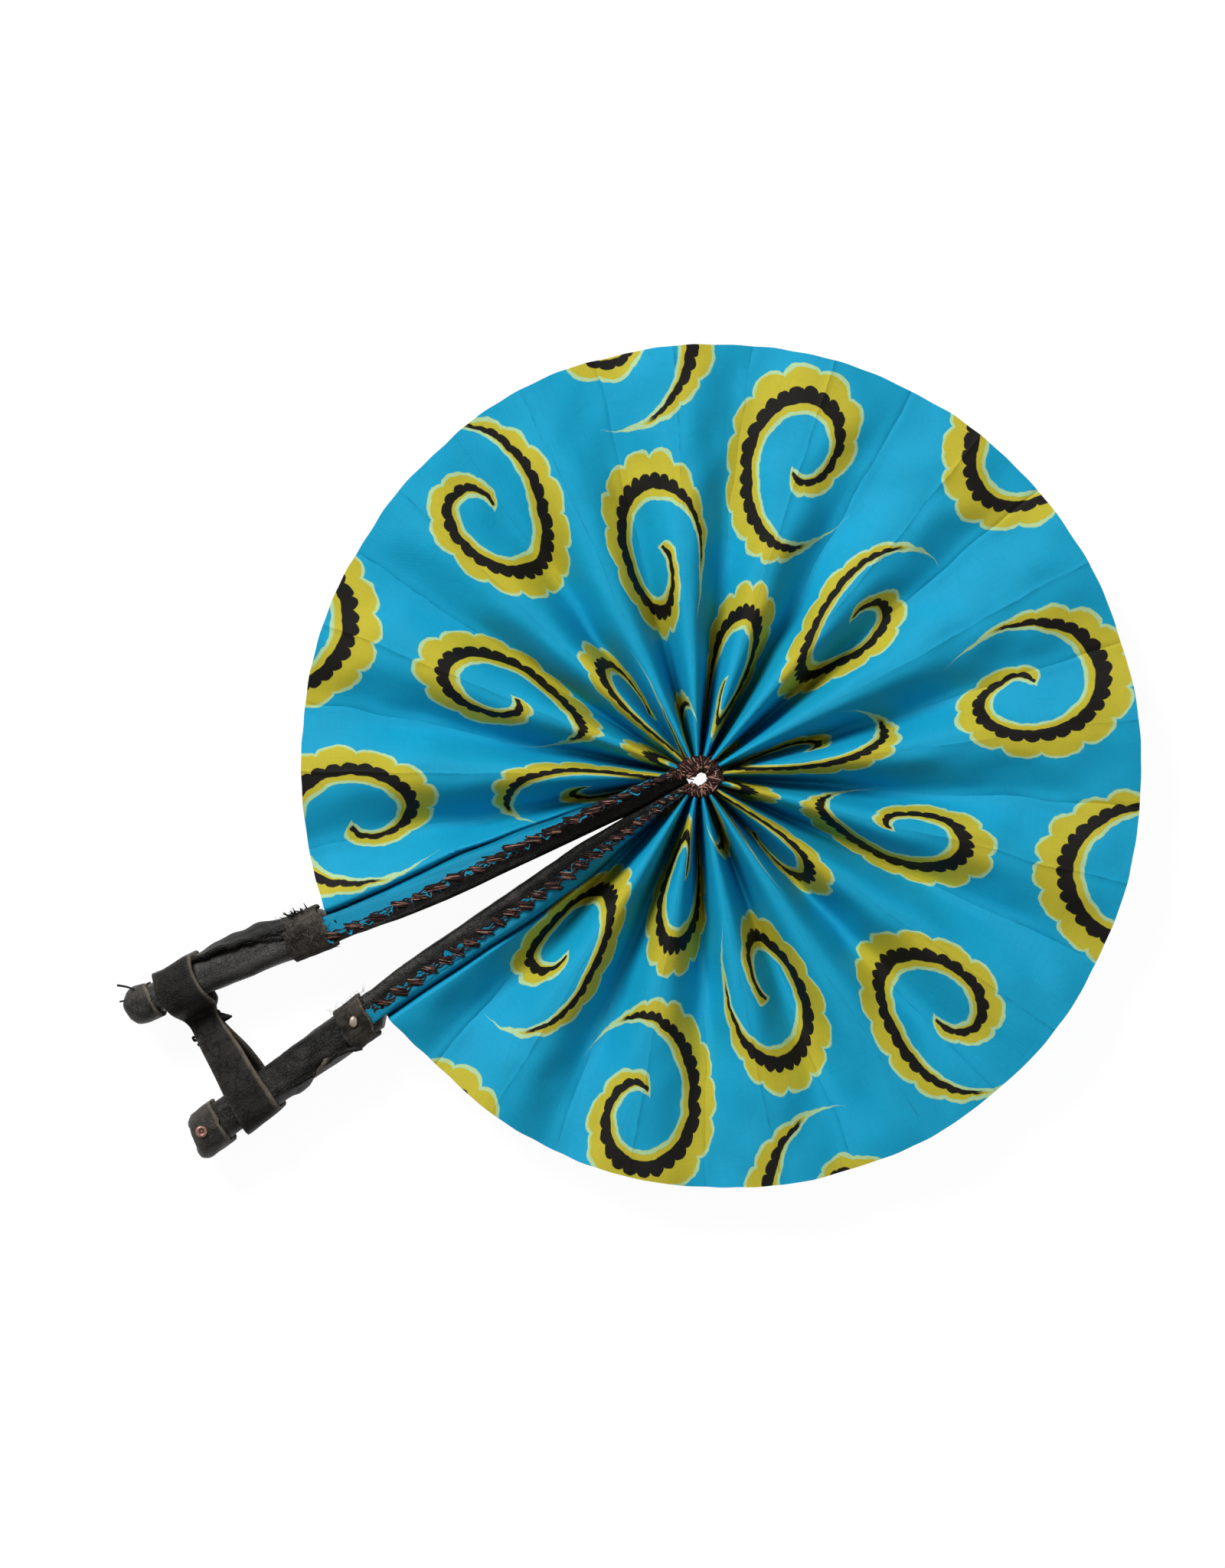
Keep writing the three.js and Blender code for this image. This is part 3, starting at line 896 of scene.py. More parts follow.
# free edges of a handle's wrap: a seed, the end's slant, whether it is cut there, and places along the
# handle: (s, the lip's distance from the middle line, its lift, and its bulge to the side)
FLAPS = {
    1: (
        (20, 0.0, False, ((184, 3.9, 1.2, 1.9), (194.5, 5.1, 1.5, 2.1), (205, 6.2, 1.7, 2.4),
                          (210, 6.7, 1.7, 2.4), (214, 7.0, 1.6, 1.8), (220.5, 7.1, 1.2, 0.6),
                          (227, 7.1, -0.6, 0.0), (233, 7.0, -2.4, -0.4))),
        (25, 0.0, False, ((184, 1.2, 0.6, 0.2), (190, 2.4, 0.9, 0.3), (198, 4.6, 0.5, 0.3))),
    ),
    -1: (
        (30, 1.4, False, ((233, 3.0, 0.5, -0.2), (222, 3.3, 0.9, 0.0), (217, 3.6, 0.9, 0.4),
                          (211, 4.6, 0.7, 1.0), (204, 5.7, 0.4, 1.3), (202, 6.0, 0.4, 1.3))),
        (20, 1.9, True, ((180, 8.3, 0.2, 0.2), (184, 7.2, 0.5, 0.3), (189, 5.5, 1.0, 0.4),
                         (196.5, 4.5, 1.2, 0.4))),
    ),
}
FLAP_HALF = 0.5               # half of its leather's thickness
FLAP_COLUMNS = 22
# how ragged a collar's edges are, how pale the near one is, and the collar's wear
COLLAR_LOOKS = {1: (1.0, 0.4, 0.15), -1: (0.5, 0.95, 0.0)}
# a cap's rounded end: distances back from its end and down from its side
CAP_ROUND = ((3.0, 0.25), (1.6, 0.9), (0.6, 2.1), (0.1, 3.6), (-0.1, 5.6), (-0.1, 7.0))
CAP_WEAR = {1: -0.1, -1: -0.05}
CAP_SLANT = 1.8


def flap(build, side, seed, slant, is_cut, places):
    """The free edge of a handle's wrap, rolled over its outer top corner."""
    along, lips, lifts, bulges = (np.array(v, float) for v in zip(*places))
    length = along[-1] - along[0]
    stations = along[0] + length * np.linspace(0, 1, int(abs(length) / 1.1))
    order = np.argsort(along)
    rising = along[order]
    edge, rise = line_wave(seed, 5, 40), line_wave(seed + 1, 6, 44)
    belly, tuck = line_wave(seed + 2, 10, 50), line_wave(seed + 3, 4, 18)
    grid = []
    for s in stations:
        lip = np.interp(s, rising, lips[order]) + 0.5 * edge(s)
        up = np.interp(s, rising, lifts[order]) * (1 + 0.5 * rise(s))
        out = np.interp(s, rising, bulges[order]) * (1 + 0.45 * belly(s))
        fold = 0.55 * tuck(s)
        line = spline([
            (lip, HANDLE_HIGH + up - 0.9),
            (lip + 0.5, HANDLE_HIGH + up - 0.1),
            (lip + 1.5, HANDLE_HIGH + up + fold * 0.5),
            (0.5 * lip + 4.7 + 0.3 * out, HANDLE_HIGH + 0.4 * up - 1.9),
            (8.4 + 0.9 * out, HANDLE_HIGH - 6.0 + fold),
            (8.6 + out, HANDLE_HIGH - 10.0),
            (8.5 + 0.6 * out, HANDLE_HIGH - 15.0 + fold),
            (8.1, HANDLE_HIGH - 21.0),
        ], FLAP_COLUMNS)
        shear = slant * (line[:, 0] - lip) * (s - along[0]) / length
        grid.append(np.stack([-(s + shear), side * (handle_middle(s) + line[:, 0]), line[:, 1]], 1))
    raw = np.zeros((len(grid), FLAP_COLUMNS))
    worn = np.full(raw.shape, -0.3)
    if is_cut:
        raw[-2:] = 1.0
    worn[:, 2:5] = -0.1
    worn[:, 9:13] = -0.1
    build.add(sheet_skin(grid, (0.0, side * 1.0, 0.7), FLAP_HALF, FLAP_HALF), raw=[raw] * 2, worn=[worn] * 2)


def welt(build, side, seed):
    """The strip of leather on a guard's top, rolled over its inner corner and sewn along its other edge.

    On the upper guard its tip lies out over the first pleats, as a piece of its own.
    """
    pucker, edge = wave_field(seed, 5, 40, 14), line_wave(seed + 1, 4, 24)
    plan = np.concatenate([np.linspace(0, ROLL_SHARE, 6), np.linspace(0.3, 1, 10)])

    def row(s, share):
        roll = np.clip(share / ROLL_SHARE, 0, 1)
        inner = gap_face(side, s) + 0.01 - GUARD_GAP / 2 * smooth01((TOUCH_REACH + 5 - s) / 5)
        wide = max(stitch_line(side, s) + 0.3 * edge(s), inner + 0.5) - inner
        rolled = ROLL_WIDTH * (1 - np.cos(roll * math.pi / 2))
        flat = ROLL_WIDTH + (1 - ROLL_WIDTH) * (share - ROLL_SHARE) / (1 - ROLL_SHARE)
        across = inner + wide * np.where(share < ROLL_SHARE, rolled, flat)
        z = guard_top(s) + 0.75 - 2.4 * (1 - np.sin(roll * math.pi / 2))
        z = z + 0.35 * np.sin(math.pi * np.clip((share - 0.1) / 0.9, 0, 1))
        z = z + 0.17 * pucker(s, across * 2.0)
        # painted shade that fades out away from the hub, and a painted highlight along the flat just past the
        # roll
        hub_shade_fade = smooth01((s - 40) / 110)
        painted_light_amount = (0.15 + 0.4 * hub_shade_fade) * np.exp(-((share - 0.3) / 0.16) ** 2)
        worn = WELT_TONE_AND_SHADE[side] + 0.45 * hub_shade_fade + painted_light_amount
        return np.stack([np.full(len(share), -s), side * across, z], 1), worn

    def strip(target, rows):
        grid, worn = zip(*rows)
        skin = sheet_skin(grid, (0.0, -side * 0.5, 1.0), WELT_ABOVE, WELT_BELOW)
        target.add(skin, raw=0.0, worn=[worn] * 2)

    main, tip = [], []
    for s in np.arange(TIP_START, LEAF_END + 6.5, 1.5):
        cut = 1.0
        if side > 0 and s < TIP_END:
            points, _ = row(s, plan)
            cut = np.interp(max(tip_line(side, s), points[0, 1] + 0.5), points[:, 1], plan)
            tip.append(row(s, np.linspace(cut, 1.0, 8)))
        main.append(row(s, plan * cut))
    strip(build, main)
    if tip:
        beside = Build()
        strip(beside, tip)
        give_way(beside.piece("upper_welt_tip", COVER, "upper_guard", "cover_leather"), side)


def cover(prefix, side, seed):
    """The leather round a guard's stick, with the welt on its top and the flaps of its handle."""
    build = Build()
    pucker, crease = wave_field(seed, 5, 45, 14), wave_field(seed + 5, 3.5, 14, 12)
    end = COVER_END - COVER_SHORTER[side]
    stations = [*np.arange(COVER_START, LEAF_END, 2.6), *np.linspace(LEAF_END, HANDLE_START, 4)]
    stations += [*np.arange(HANDLE_START + 2.0, end, 2.0), end]
    base, more, place, wide = HANDLE_WEAR_AND_HIGHLIGHT[side]
    # painted highlight: a lighter band along the top of the handle
    painted_light_amount = more * np.exp(-(((turn_share + 0.5) % 1 - place) / wide) ** 2)
    rings, worn = [], []
    for s in stations:
        if s <= LEAF_END:
            section = laced_section(side, s)
            size = 0.10 + 0.10 * smooth01((s - 30) / 80)
        elif s < HANDLE_START:
            share = (s - LEAF_END) / (HANDLE_START - LEAF_END)
            section = (1 - share) * laced_section(side, LEAF_END) + share * handle_section(HANDLE_START)
            size = 0.15
        else:
            section = handle_section(s, 0.0, narrowing(side, s))
            size = 0.34
        around = ring_place(section)
        section = swell(section, size * (pucker(s, around) + 0.45 * crease(s * 0.4, around)))
        section[:, 1] = np.maximum(section[:, 1], 0.0)
        rings.append(place_ring(side, s, section))
        worn.append(base + 0.25 * corner_share + painted_light_amount if s > LEAF_END else 0.1 * corner_share - 0.5)
    build.add(loft(rings), raw=0.0, worn=worn)
    welt(build, side, seed + 10)
    for flap_seed, slant, is_cut, places in FLAPS[side]:
        flap(build, side, seed + flap_seed, slant, is_cut, places)
    build.piece(f"{prefix}_leather_cover", COVER, f"{prefix}_guard", "cover_leather", f"{prefix}_cover")


def slim_stick():
    """The wooden stick inside the upper guard, drawn in with the leather at its handle's end."""
    build = Build()
    rings = []
    for s in [*np.arange(46.0, LEAF_END, 6.0), LEAF_END]:
        low, high = inner_face(s) + STICK_INSET, leaf_face(s) - STICK_INSET
        section = rounded_ring(low, max(high, low + 0.3), STICK_INSET, RIDGE_TOP - STICK_INSET, 1.0)
        rings.append(place_ring(1, s, section))
    for s in [*np.arange(HANDLE_START, 252, 4.0), *STICK_END]:
        inset = STICK_INSET + 1.6 * smooth01((s - 251) / 5)
        rings.append(place_ring(1, s, handle_section(s, -inset, narrowing(1, s))))
    build.add(loft(rings))
    build.piece("upper_wood_stick", WOOD, "upper_guard", "stick_wood", "upper_stick")


def collar(prefix, side, seed):
    """A band wrapped round the start of a handle: its inside, its cut edges and its outside."""
    build = Build()
    start, end = COLLARS[side]
    ragged, pale, wear = COLLAR_LOOKS[side]
    pucker = wave_field(seed, 3.5, 26, 14)
    near_edge, far_edge = line_wave(seed + 1, 4, 26), line_wave(seed + 2, 4, 26)
    grow, inside = COLLAR_GROW, COLLAR_GROW - COLLAR_LEATHER
    cut = inside + 0.25 * COLLAR_LEATHER
    # share of the way along, distance out from the handle, nudge along, and how raw it is
    plan = [(0.0, inside, 0.0, 0.0), (0.0, cut, 0.0, 1.0), (0.0, grow - 0.3, 0.0, 1.0),
            (0.0, grow, 0.6, pale)]
    plan += [(share, grow, 0.0, 0.0) for share in np.linspace(0.08, 0.92, 9)]
    plan += [(1.0, grow, -0.6, 0.0), (1.0, grow - 0.3, 0.0, 0.2), (1.0, cut, 0.0, 0.2),
             (1.0, inside, 0.0, 0.0)]
    rings, raw = [], []
    for share, out, nudge, edge in plan:
        s = start + (end - start) * share + nudge
        section = handle_section(s, out)
        around = ring_place(section)
        if out == grow:
            section = swell(section, 0.34 * pucker(s, around))
        along = s + ragged * ((1 - share) * near_edge(around) + share * far_edge(around))
        rings.append(place_ring(side, along, section))
        raw.append(np.full(AROUND, edge))
    build.add(loft(rings, looped=True), raw=raw, worn=[0.4 * corner_share + wear] * len(plan))
    build.piece(f"{prefix}_leather_collar", COLLAR, f"{prefix}_guard", "collar_leather", f"{prefix}_collar")


def cap(prefix, side, seed):
    """The leather cap over a handle's end, with a pale seam edge."""
    build = Build()
    pucker, near_edge = wave_field(seed, 5, 26, 12), line_wave(seed + 1, 5, 30)
    # distance from the hub, distance out from the handle, and how raw it is
    plan = [(CAP_START, SEAT_GAP, 0), (CAP_START - 0.1, SEAT_GAP + 0.4, 1),
            (CAP_START - 0.1, CAP_GROW - 0.45, 1), (CAP_START + 0.4, CAP_GROW, 1),
            (CAP_START + 1.0, CAP_GROW, 0.8)]
    plan += [(s, CAP_GROW, 0) for s in np.linspace(CAP_START + 1.5, CAP_END - 4.5, 8)]
    plan += [(CAP_END - back, CAP_GROW - down, 0) for back, down in CAP_ROUND]
    # the lining ring closes the cap's inside against the wrap it covers
    end = COVER_END + SEAT_GAP - COVER_SHORTER[side]
    rings = [place_ring(side, end, handle_section(end, SEAT_GAP - 1.2, narrowing(side, end)))]
    raw, worn = [np.zeros(AROUND)], [np.zeros(AROUND)]
    for s, out, edge in plan:
        section = handle_section(s, out, narrowing(side, s) + (0.35 * max(out, 0) if side > 0 else 0.0))
        around = ring_place(section)
        if s > CAP_START + 0.2:
            section = swell(section, 0.30 * pucker(s, around))
        along = np.full(AROUND, s)
        if edge:
            along = along + 0.55 * near_edge(around)
        far = smooth01((s - CAP_START - 1) / (CAP_END - CAP_START - 1))
        off = section[:, 0] - handle_middle(s)
        if side > 0:
            along = along - far * (1.3 + 4.2 * smooth01(off / 8))
        else:
            along = along + far * (CAP_SLANT * off / 10 + smooth01(-off / 8))
        if out < CAP_GROW - 1:
            along = along + 0.35 * pucker(section[:, 0] * 2, section[:, 1] * 2)
        rings.append(place_ring(side, along, section))
        raw.append(np.full(AROUND, edge))
        worn.append(0.3 * corner_share + 0.25 * smooth01((s - CAP_END + 5) / 4) + CAP_WEAR[side])
    build.add(loft(rings), raw=raw, worn=worn)
    build.piece(f"{prefix}_leather_cap", CAP, f"{prefix}_guard", "cap_leather", f"{prefix}_cap")


# Sewn edge of the leaf

STITCHES = {1: (9.9, 3.5, 1.5), -1: (7.6, 2.3, 1.65)}   # pitch, half length along, half width across
STITCH_START = 10.0
STITCH_TURNS = (14, 19)       # least number of threads in a stitch, and the number it stays under
TIP_TURNS = {1: 10, -1: 7}    # turns of thread that bind a guard's tip to the hub ring
TIP_AZIMUTH, TIP_HALF_ANGLE = math.radians(166), math.radians(6.3)
THREAD_CLEAR = 0.5            # from a guard's inner side to its nearest thread
RUNNING_THREADS = 6
RUNNING_RADIUS, SEWING_RADIUS = 0.36, 0.32
THREAD_FOOT = 31.0            # height where the hub's thread goes down out of sight
EDGE_CLOTH_HALF = 0.15
# heights of the rings of a pleat's folded inner end, and how far each ring is drawn in
CORE_LEVELS = ((PLEAT_FLOOR + 0.4, 0.7), (PLEAT_FLOOR + 1.2, 0.2), (10, 0.0), (20, 0.0), (30, 0.0),
               (32.2, 0.5), (33.0, 1.3))


def hairs(build, origin, way, spread, length, count, rng, radius, tone):
    """Loose fibres and thread ends that stand out from a place."""
    share = np.linspace(0, 1, 7)[:, None]
    for _ in range(count):
        root = np.asarray(origin, float) + rng.normal(0, 1, 3) * np.asarray(spread)
        aim = np.asarray(way, float) + rng.normal(0, 0.55, 3)
        aim /= np.linalg.norm(aim)
        bend = rng.normal(0, 0.45, 3)
        far = length * rng.uniform(0.45, 1.1)
        path = root + aim * far * share + bend * far * share ** 2
        build.add(tube(path, radius * (1.1 - 0.75 * share[:, 0]), 4), tone=tone * rng.uniform(0.4, 1.4))


def edge_cloth(prefix, side, seed):
    """The leaf's own edge, laid over the guard's top and held by the stitches, and the same at its tip."""
    rag, lift = line_wave(seed, 2.2, 9, 10), line_wave(seed + 1, 6, 30)
    cols, tip_rows = 10, 50
    share = np.linspace(0, 1, cols)
    grid, cloth = [], []
    for s in [*np.linspace(9.5, TIP_END + 1.0, tip_rows), *np.linspace(TIP_END + 1.5, LEAF_END + 7.0, 200)]:
        line, fold = stitch_line(side, s), leaf_line(s)
        outer = max(fold + 0.5, line + 1.5 + 0.3 * lift(s))
        inner = max(line - 1.3 - 1.2 * rag(s), inner_face(s) + 0.3)
        across = outer + (inner - outer) * share
        z = guard_top(s) + 0.28 + 0.30 * np.sin(math.pi * share) + 0.12 * lift(s) * share
        z = z + 0.8 * share ** 3
        z[0] = min(z[0], RIDGE_TOP) - 0.3
        strip = across - fold if side > 0 else PANEL_CLOTH * CREASES - (across - fold)
        grid.append(np.stack([np.full(cols, -s), side * across, z], 1))
        # painted shade: the edge strip is kept darker, at 0.45 of a groove's painted shade
        cloth.append(np.stack([strip, np.full(cols, s / math.cos(EDGE_ANGLE)), np.full(cols, 0.45)], 1))
    pieces = []
    for name, part in (("edge_cloth", slice(tip_rows - 1, None)), ("edge_cloth_tip", slice(tip_rows))):
        build = Build()
        build.add(sheet_skin(grid[part], (0, 0, 1), EDGE_CLOTH_HALF, EDGE_CLOTH_HALF))
        made = build.piece(f"{prefix}_{name}", COTTON, f"{prefix}_guard", "printed_cotton")
        keep_cloth(made, np.array(cloth[part]))
        pieces.append(made)
    give_way(pieces[1], side)
    return pieces


def hub_core(build, azimuth, half_angle, near, far):
    """The folded inner end of a pleat, a wedge beside the hub's hole."""
    out, aside = axes_at(azimuth)
    rings = []
    for z, draw in CORE_LEVELS:
        ring = []
        for radius, start in ((near + 0.6 * draw, -1), (far - draw, 1)):
            half = radius * half_angle - 0.1
            for share in np.linspace(start, -start, 6):
                ring.append(out * radius + aside * share * half + [0, 0, z])
        rings.append(ring)
    build.add(loft(rings), tone=0.05)


def strand(build, side, corners, radius, tone):
    """A thread through corners, each of them (s, across, z)."""
    path = spline([(-a, side * b, c) for a, b, c in corners], 13)
    build.add(tube(path, radius, 5), tone=tone)


def whip_stitch(build, side, s, size, rng):
    """A thick bundle of thread that slants over the leaf's edge on to the leather."""
    _, half_long, half_wide = STITCHES[side]
    line, top = stitch_line(side, s), guard_top(s)
    least = inner_face(s) + THREAD_CLEAR
    tilt, drift = rng.uniform(0.72, 1.22), rng.normal(0, 0.35)
    for turn in range(rng.integers(*STITCH_TURNS)):
        aside = rng.uniform(-1, 1)
        at = s + rng.normal(0, 0.5)
        lean = side * half_long * size * tilt * rng.uniform(0.8, 1.15)
        middle = line + drift + 1.5 * size * aside
        near = max(middle - half_wide * size * rng.uniform(0.8, 1.1), least)
        far = middle + half_wide * size * rng.uniform(0.8, 1.1)
        high = top + 0.9 + 1.5 * (1 - aside ** 2) * rng.uniform(0.55, 1)
        # painted highlight and shade: threads in a bundle's middle are lighter, those at its sides darker
        tone = 0.01 + 0.22 * (1 - abs(aside)) * rng.uniform(0, 1.3)
        radius = rng.uniform(0.26, 0.42)
        # every fourth thread is a thin pale one on top, which also paints the bundle's highlight
        if turn % 4 == 0:
            tone, radius, high = rng.uniform(0.5, 1.25), rng.uniform(0.16, 0.25), high + 0.35
        corners = [(at - lean * 1.08, near - 0.1, top + 0.2), (at - lean, near, top + 0.7),
                   (at - 0.45 * lean, middle - 0.45 * (middle - near), high),
                   (at + 0.4 * lean, middle + 0.4 * (far - middle), high),
                   (at + lean, far, top + 0.55), (at + 1.08 * lean, far + 0.15, top - 0.6)]
        strand(build, side, corners, radius, tone)
    hairs(build, (-s, side * (line + 0.6), top + 1.2), (0, side * 0.5, 0.8), (2.2, 0.8, 0.1),
          1.9, 2, rng, 0.08, 1.0)


def running_threads(build, tip, side, seed):
    """Dark threads that run along under the stitches, with their part at the guard's tip apart."""
    along = np.arange(8.0, LEAF_END + 5, 0.9)
    for turn in range(RUNNING_THREADS):
        sway = line_wave(seed + turn, 2.5, 11, 8)
        for target, part in ((tip, along[along < TIP_END + 1]), (build, along[along > TIP_END])):
            path = []
            for a in part:
                across = stitch_line(side, a) + 0.65 * (turn - RUNNING_THREADS / 2) + 0.55 * sway(a)
                across = max(across, inner_face(a) + THREAD_CLEAR)
                path.append((-a, side * across, guard_top(a) + 0.8 + 0.12 * sway(a + 40)))
            target.add(tube(path, RUNNING_RADIUS, 5), tone=0.01 + 0.03 * turn)


def tip_binding(build, side, rng):
    """Turns of thread that bind a guard's tip to the hub's ring, over its folded cloth."""
    hub_core(build, side * TIP_AZIMUTH, TIP_HALF_ANGLE, HUB_HOLE + 0.6, LEAF_START + 0.3)
    for turn in range(TIP_TURNS[side]):
        a = TIP_START + 0.55 * turn + rng.normal(0, 0.15)
        wide = stitch_line(side, a) + 0.8
        lean = rng.normal(0, 0.8)
        low = 0.3 if side < 0 else 0.45 * wide
        corners = [(a + lean, low, THREAD_FOOT), (a + lean, low + 0.2, RIDGE_TOP + 1.0),
                   (a, (low + wide) / 2, RIDGE_TOP + 1.5 + rng.uniform(0, 0.5)),
                   (a - lean, wide, RIDGE_TOP + 0.9), (a - lean, wide + 0.3, THREAD_FOOT)]
        strand(build, side, corners, rng.uniform(0.24, 0.36), np.clip(rng.normal(0.3, 0.25), 0, 1))


def lacing(prefix, side, seed):
    """All the thread along a guard. What lies at its tip is a piece of its own."""
    rng = np.random.default_rng(seed)
    build, tip = Build(), Build()
    pitch, _, _ = STITCHES[side]
    s = STITCH_START
    while s < LEAF_END + 4:
        size = 0.52 + 0.48 * smooth01((s - 8) / 70)
        whip_stitch(tip if s < TIP_END else build, side, s, size, rng)
        s += pitch * size * rng.uniform(0.82, 1.16)
    running_threads(build, tip, side, seed + 1)
    tip_binding(tip, side, rng)
    give_way(tip.piece(f"{prefix}_tip_stitches", LACING, f"{prefix}_guard", "lacing_thread"), side)
    build.piece(f"{prefix}_whip_stitches", LACING, f"{prefix}_guard", "lacing_thread", f"{prefix}_lacing")


slim_stick()
for prefix, side, seed in (("upper", 1, 500), ("lower", -1, 600)):
    cover(prefix, side, seed)
    collar(prefix, side, seed + 40)
    cap(prefix, side, seed + 50)
    edge_cloth(prefix, side, seed + 60)
    lacing(prefix, side, seed + 70)


# Hub binding

HOLE_RADIUS, HOLE_STRETCH, HOLE_TAIL = 2.3, 1.5, 1.5
STRETCH_TURN, TAIL_TURN = math.radians(-20), math.radians(225)   # in the photograph
HUB_LOOPS, HUB_STRAYS = 7, 5   # loops of thread round a pleat's end, and turns across them


def hole_radius(azimuth):
    """Radius of the hub's hole: wide to the photograph's right, with a tail towards the guards' gap."""
    turn = azimuth - VIEW_TURN
    tail = max(0.0, math.cos(turn - TAIL_TURN)) ** 2
    return HOLE_RADIUS + HOLE_STRETCH * math.cos(turn - STRETCH_TURN) + HOLE_TAIL * tail


def hub_binding(ridge, rng):
    """The bound inner end of one pleat: its folded core and the loops of thread wound round it."""
    build = Build()
    azimuth = crease_azimuth(ridge)
    out, aside = axes_at(azimuth)
    half_step = CREASE_STEP * 0.9
    edge = leaf_start(azimuth)
    near, far = hole_radius(azimuth) + 0.7, edge - 0.9
    hub_core(build, azimuth, CREASE_STEP, near, edge + 0.3)
    for turn in range(HUB_LOOPS):
        place = (turn - HUB_LOOPS // 2) / 3.1 + rng.normal(0, 0.2)
        lean = rng.normal(0.2, 0.8)
        top = RIDGE_TOP + rng.uniform(0.1, 1.1)
        reach, start = far + rng.uniform(-0.3, 0.9), near + rng.uniform(-0.5, 0.6)
        # over the top from the hole to the leaf, then down, under the pleat and up beside the hole
        loop = [
            (start - 0.3, -lean, THREAD_FOOT), (start + 0.3, -lean * 0.8, top - 0.4),
            ((near + far) / 2, 0, top), (reach - 0.3, lean * 0.8, top - 0.5),
            (reach + 0.3, lean, THREAD_FOOT),
            (far + 0.3, lean, 20.0), (far + 0.3, lean, 8.0), (far + 0.2, lean * 0.8, 2.6),
            ((near + far) / 2, 0, 1.9), (near + 0.1, -lean * 0.8, 2.6), (near - 0.3, -lean, 8.0),
            (near - 0.3, -lean, 20.0),
        ]
        path = [out * radius + aside * (radius * half_step * (place * 0.92) + tip) + [0, 0, z]
                for radius, tip, z in loop]
        build.add(tube(spline(path, 40, closed=True), rng.uniform(0.24, 0.38), 5, looped=True),
                  tone=rng.uniform(0.7, 1.2) if turn % 3 == 1 else rng.uniform(0.02, 0.3))
    # stray turns that lie across the others
    for _ in range(HUB_STRAYS):
        radius = rng.uniform(near + 0.2, far)
        lean = rng.normal(0, 1.2)
        top = RIDGE_TOP + rng.uniform(0.6, 1.6)
        path = [out * max(radius + lean * share, near + 0.3) + aside * (share * radius * half_step * 1.1)
                + [0, 0, top - 1.1 * share ** 2] for share in np.linspace(-1, 1, 5)]
        build.add(tube(spline(path, 12), rng.uniform(0.22, 0.34), 5), tone=rng.choice((0.06, 0.2, 0.5, 1.1)))
    hairs(build, out * 7.2 + np.array([0, 0, RIDGE_TOP + 0.6]), (0, 0, 1), (1.2, 1.2, 0.1),
          1.5, 3, rng, 0.09, 0.9)
    made = build.piece(f"hub_binding_{ridge:02d}", LACING, f"pleat_{ridge:02d}", "lacing_thread",
                       f"hub_stitch_{ridge:02d}")
    row_point(0, 0, 0)
    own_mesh(made)


hub_rng = np.random.default_rng(58)
for ridge in range(2, CREASES, 2):
    hub_binding(ridge, hub_rng)


# Strap

strap_middle = handle_middle(STRAP_CENTRE)
strap_half = HANDLE_HALF + STRAP_EASE
strap_side = strap_middle - strap_half - STRAP_LEATHER / 2
neck_near = strap_side - STRAP_SLOPE
neck_far = neck_near - STRAP_NECK - STRAP_LEATHER / 2
neck_level = RIDGE_TOP / 2
# the strap's half width towards the hub and towards the handles' ends, at places across the handles
STRAP_HUB_HALF = ((-39, -20, -7, 11, 16, 24, 33, 39), (12.2, 11.1, 9.8, 7.2, 9.0, 7.4, 8.0, 10.7))
STRAP_TIP_HALF = ((-39, -20, 0, 11, 20, 29, 39), (5.3, 6.0, 6.0, 5.7, 9.9, 11.0, 8.6))
STRAP_POINTS, STRAP_LENGTH = 230, 260.0
# how the strap's outer side draws in with the upper handle's end
DRAW_BY, DRAW_FROM, DRAW_LENGTH = 3.0, 224.0, 18.0
# knots at the neck: distance from the hub, across, size, and turns of thread
KNOTS = ((241.4, 5.6, 1.3, 9), (241.2, 2.6, 0.8, 5), (227.4, 11.0, 1.0, 5))
STITCH_ROWS = (0.6, 3.0)      # from the neck's near end
# the turned out end beside the neck: where it starts, its length, half width and place across
END_FROM, END_LENGTH, END_HALF, END_ACROSS = 229.0, 5.4, 2.3, 8.6


def strap_line():
    """(across, z) of the strap's middle, round the upper handle, through the neck and round the lower one."""
    half = STRAP_LEATHER / 2
    low, high = HANDLE_LOW - STRAP_EASE - half, HANDLE_HIGH + STRAP_EASE + half
    outer, inner = strap_middle + strap_half + half + STRAP_SLACK[1], -strap_middle + strap_half
    lower = -strap_middle - strap_half - half - STRAP_SLACK[-1]
    over, under = neck_level + half, neck_level - half
    r, near_r, far_r = STRAP_CORNERS
    corners = [
        (outer, low, r), (outer, high + 0.4, r), (strap_side, high + 0.2, r), (neck_near, over, near_r),
        (neck_far, over, far_r), (inner, high, r), (lower, high, r), (lower, low, r), (inner, low, r),
        (neck_far, under, far_r), (neck_near, under, near_r), (strap_side, low, r),
    ]
    line = []
    for n, (y, z, round_by) in enumerate(corners):
        here = np.array([y, z])
        before = np.array(corners[n - 1][:2])
        after = np.array(corners[(n + 1) % len(corners)][:2])
        a = here + (before - here) / np.linalg.norm(before - here) * round_by
        b = here + (after - here) / np.linalg.norm(after - here) * round_by
        for t in np.linspace(0, 1, 8):
            line.append((1 - t) ** 2 * a + 2 * t * (1 - t) * here + t ** 2 * b)
    return resample(line, STRAP_POINTS)


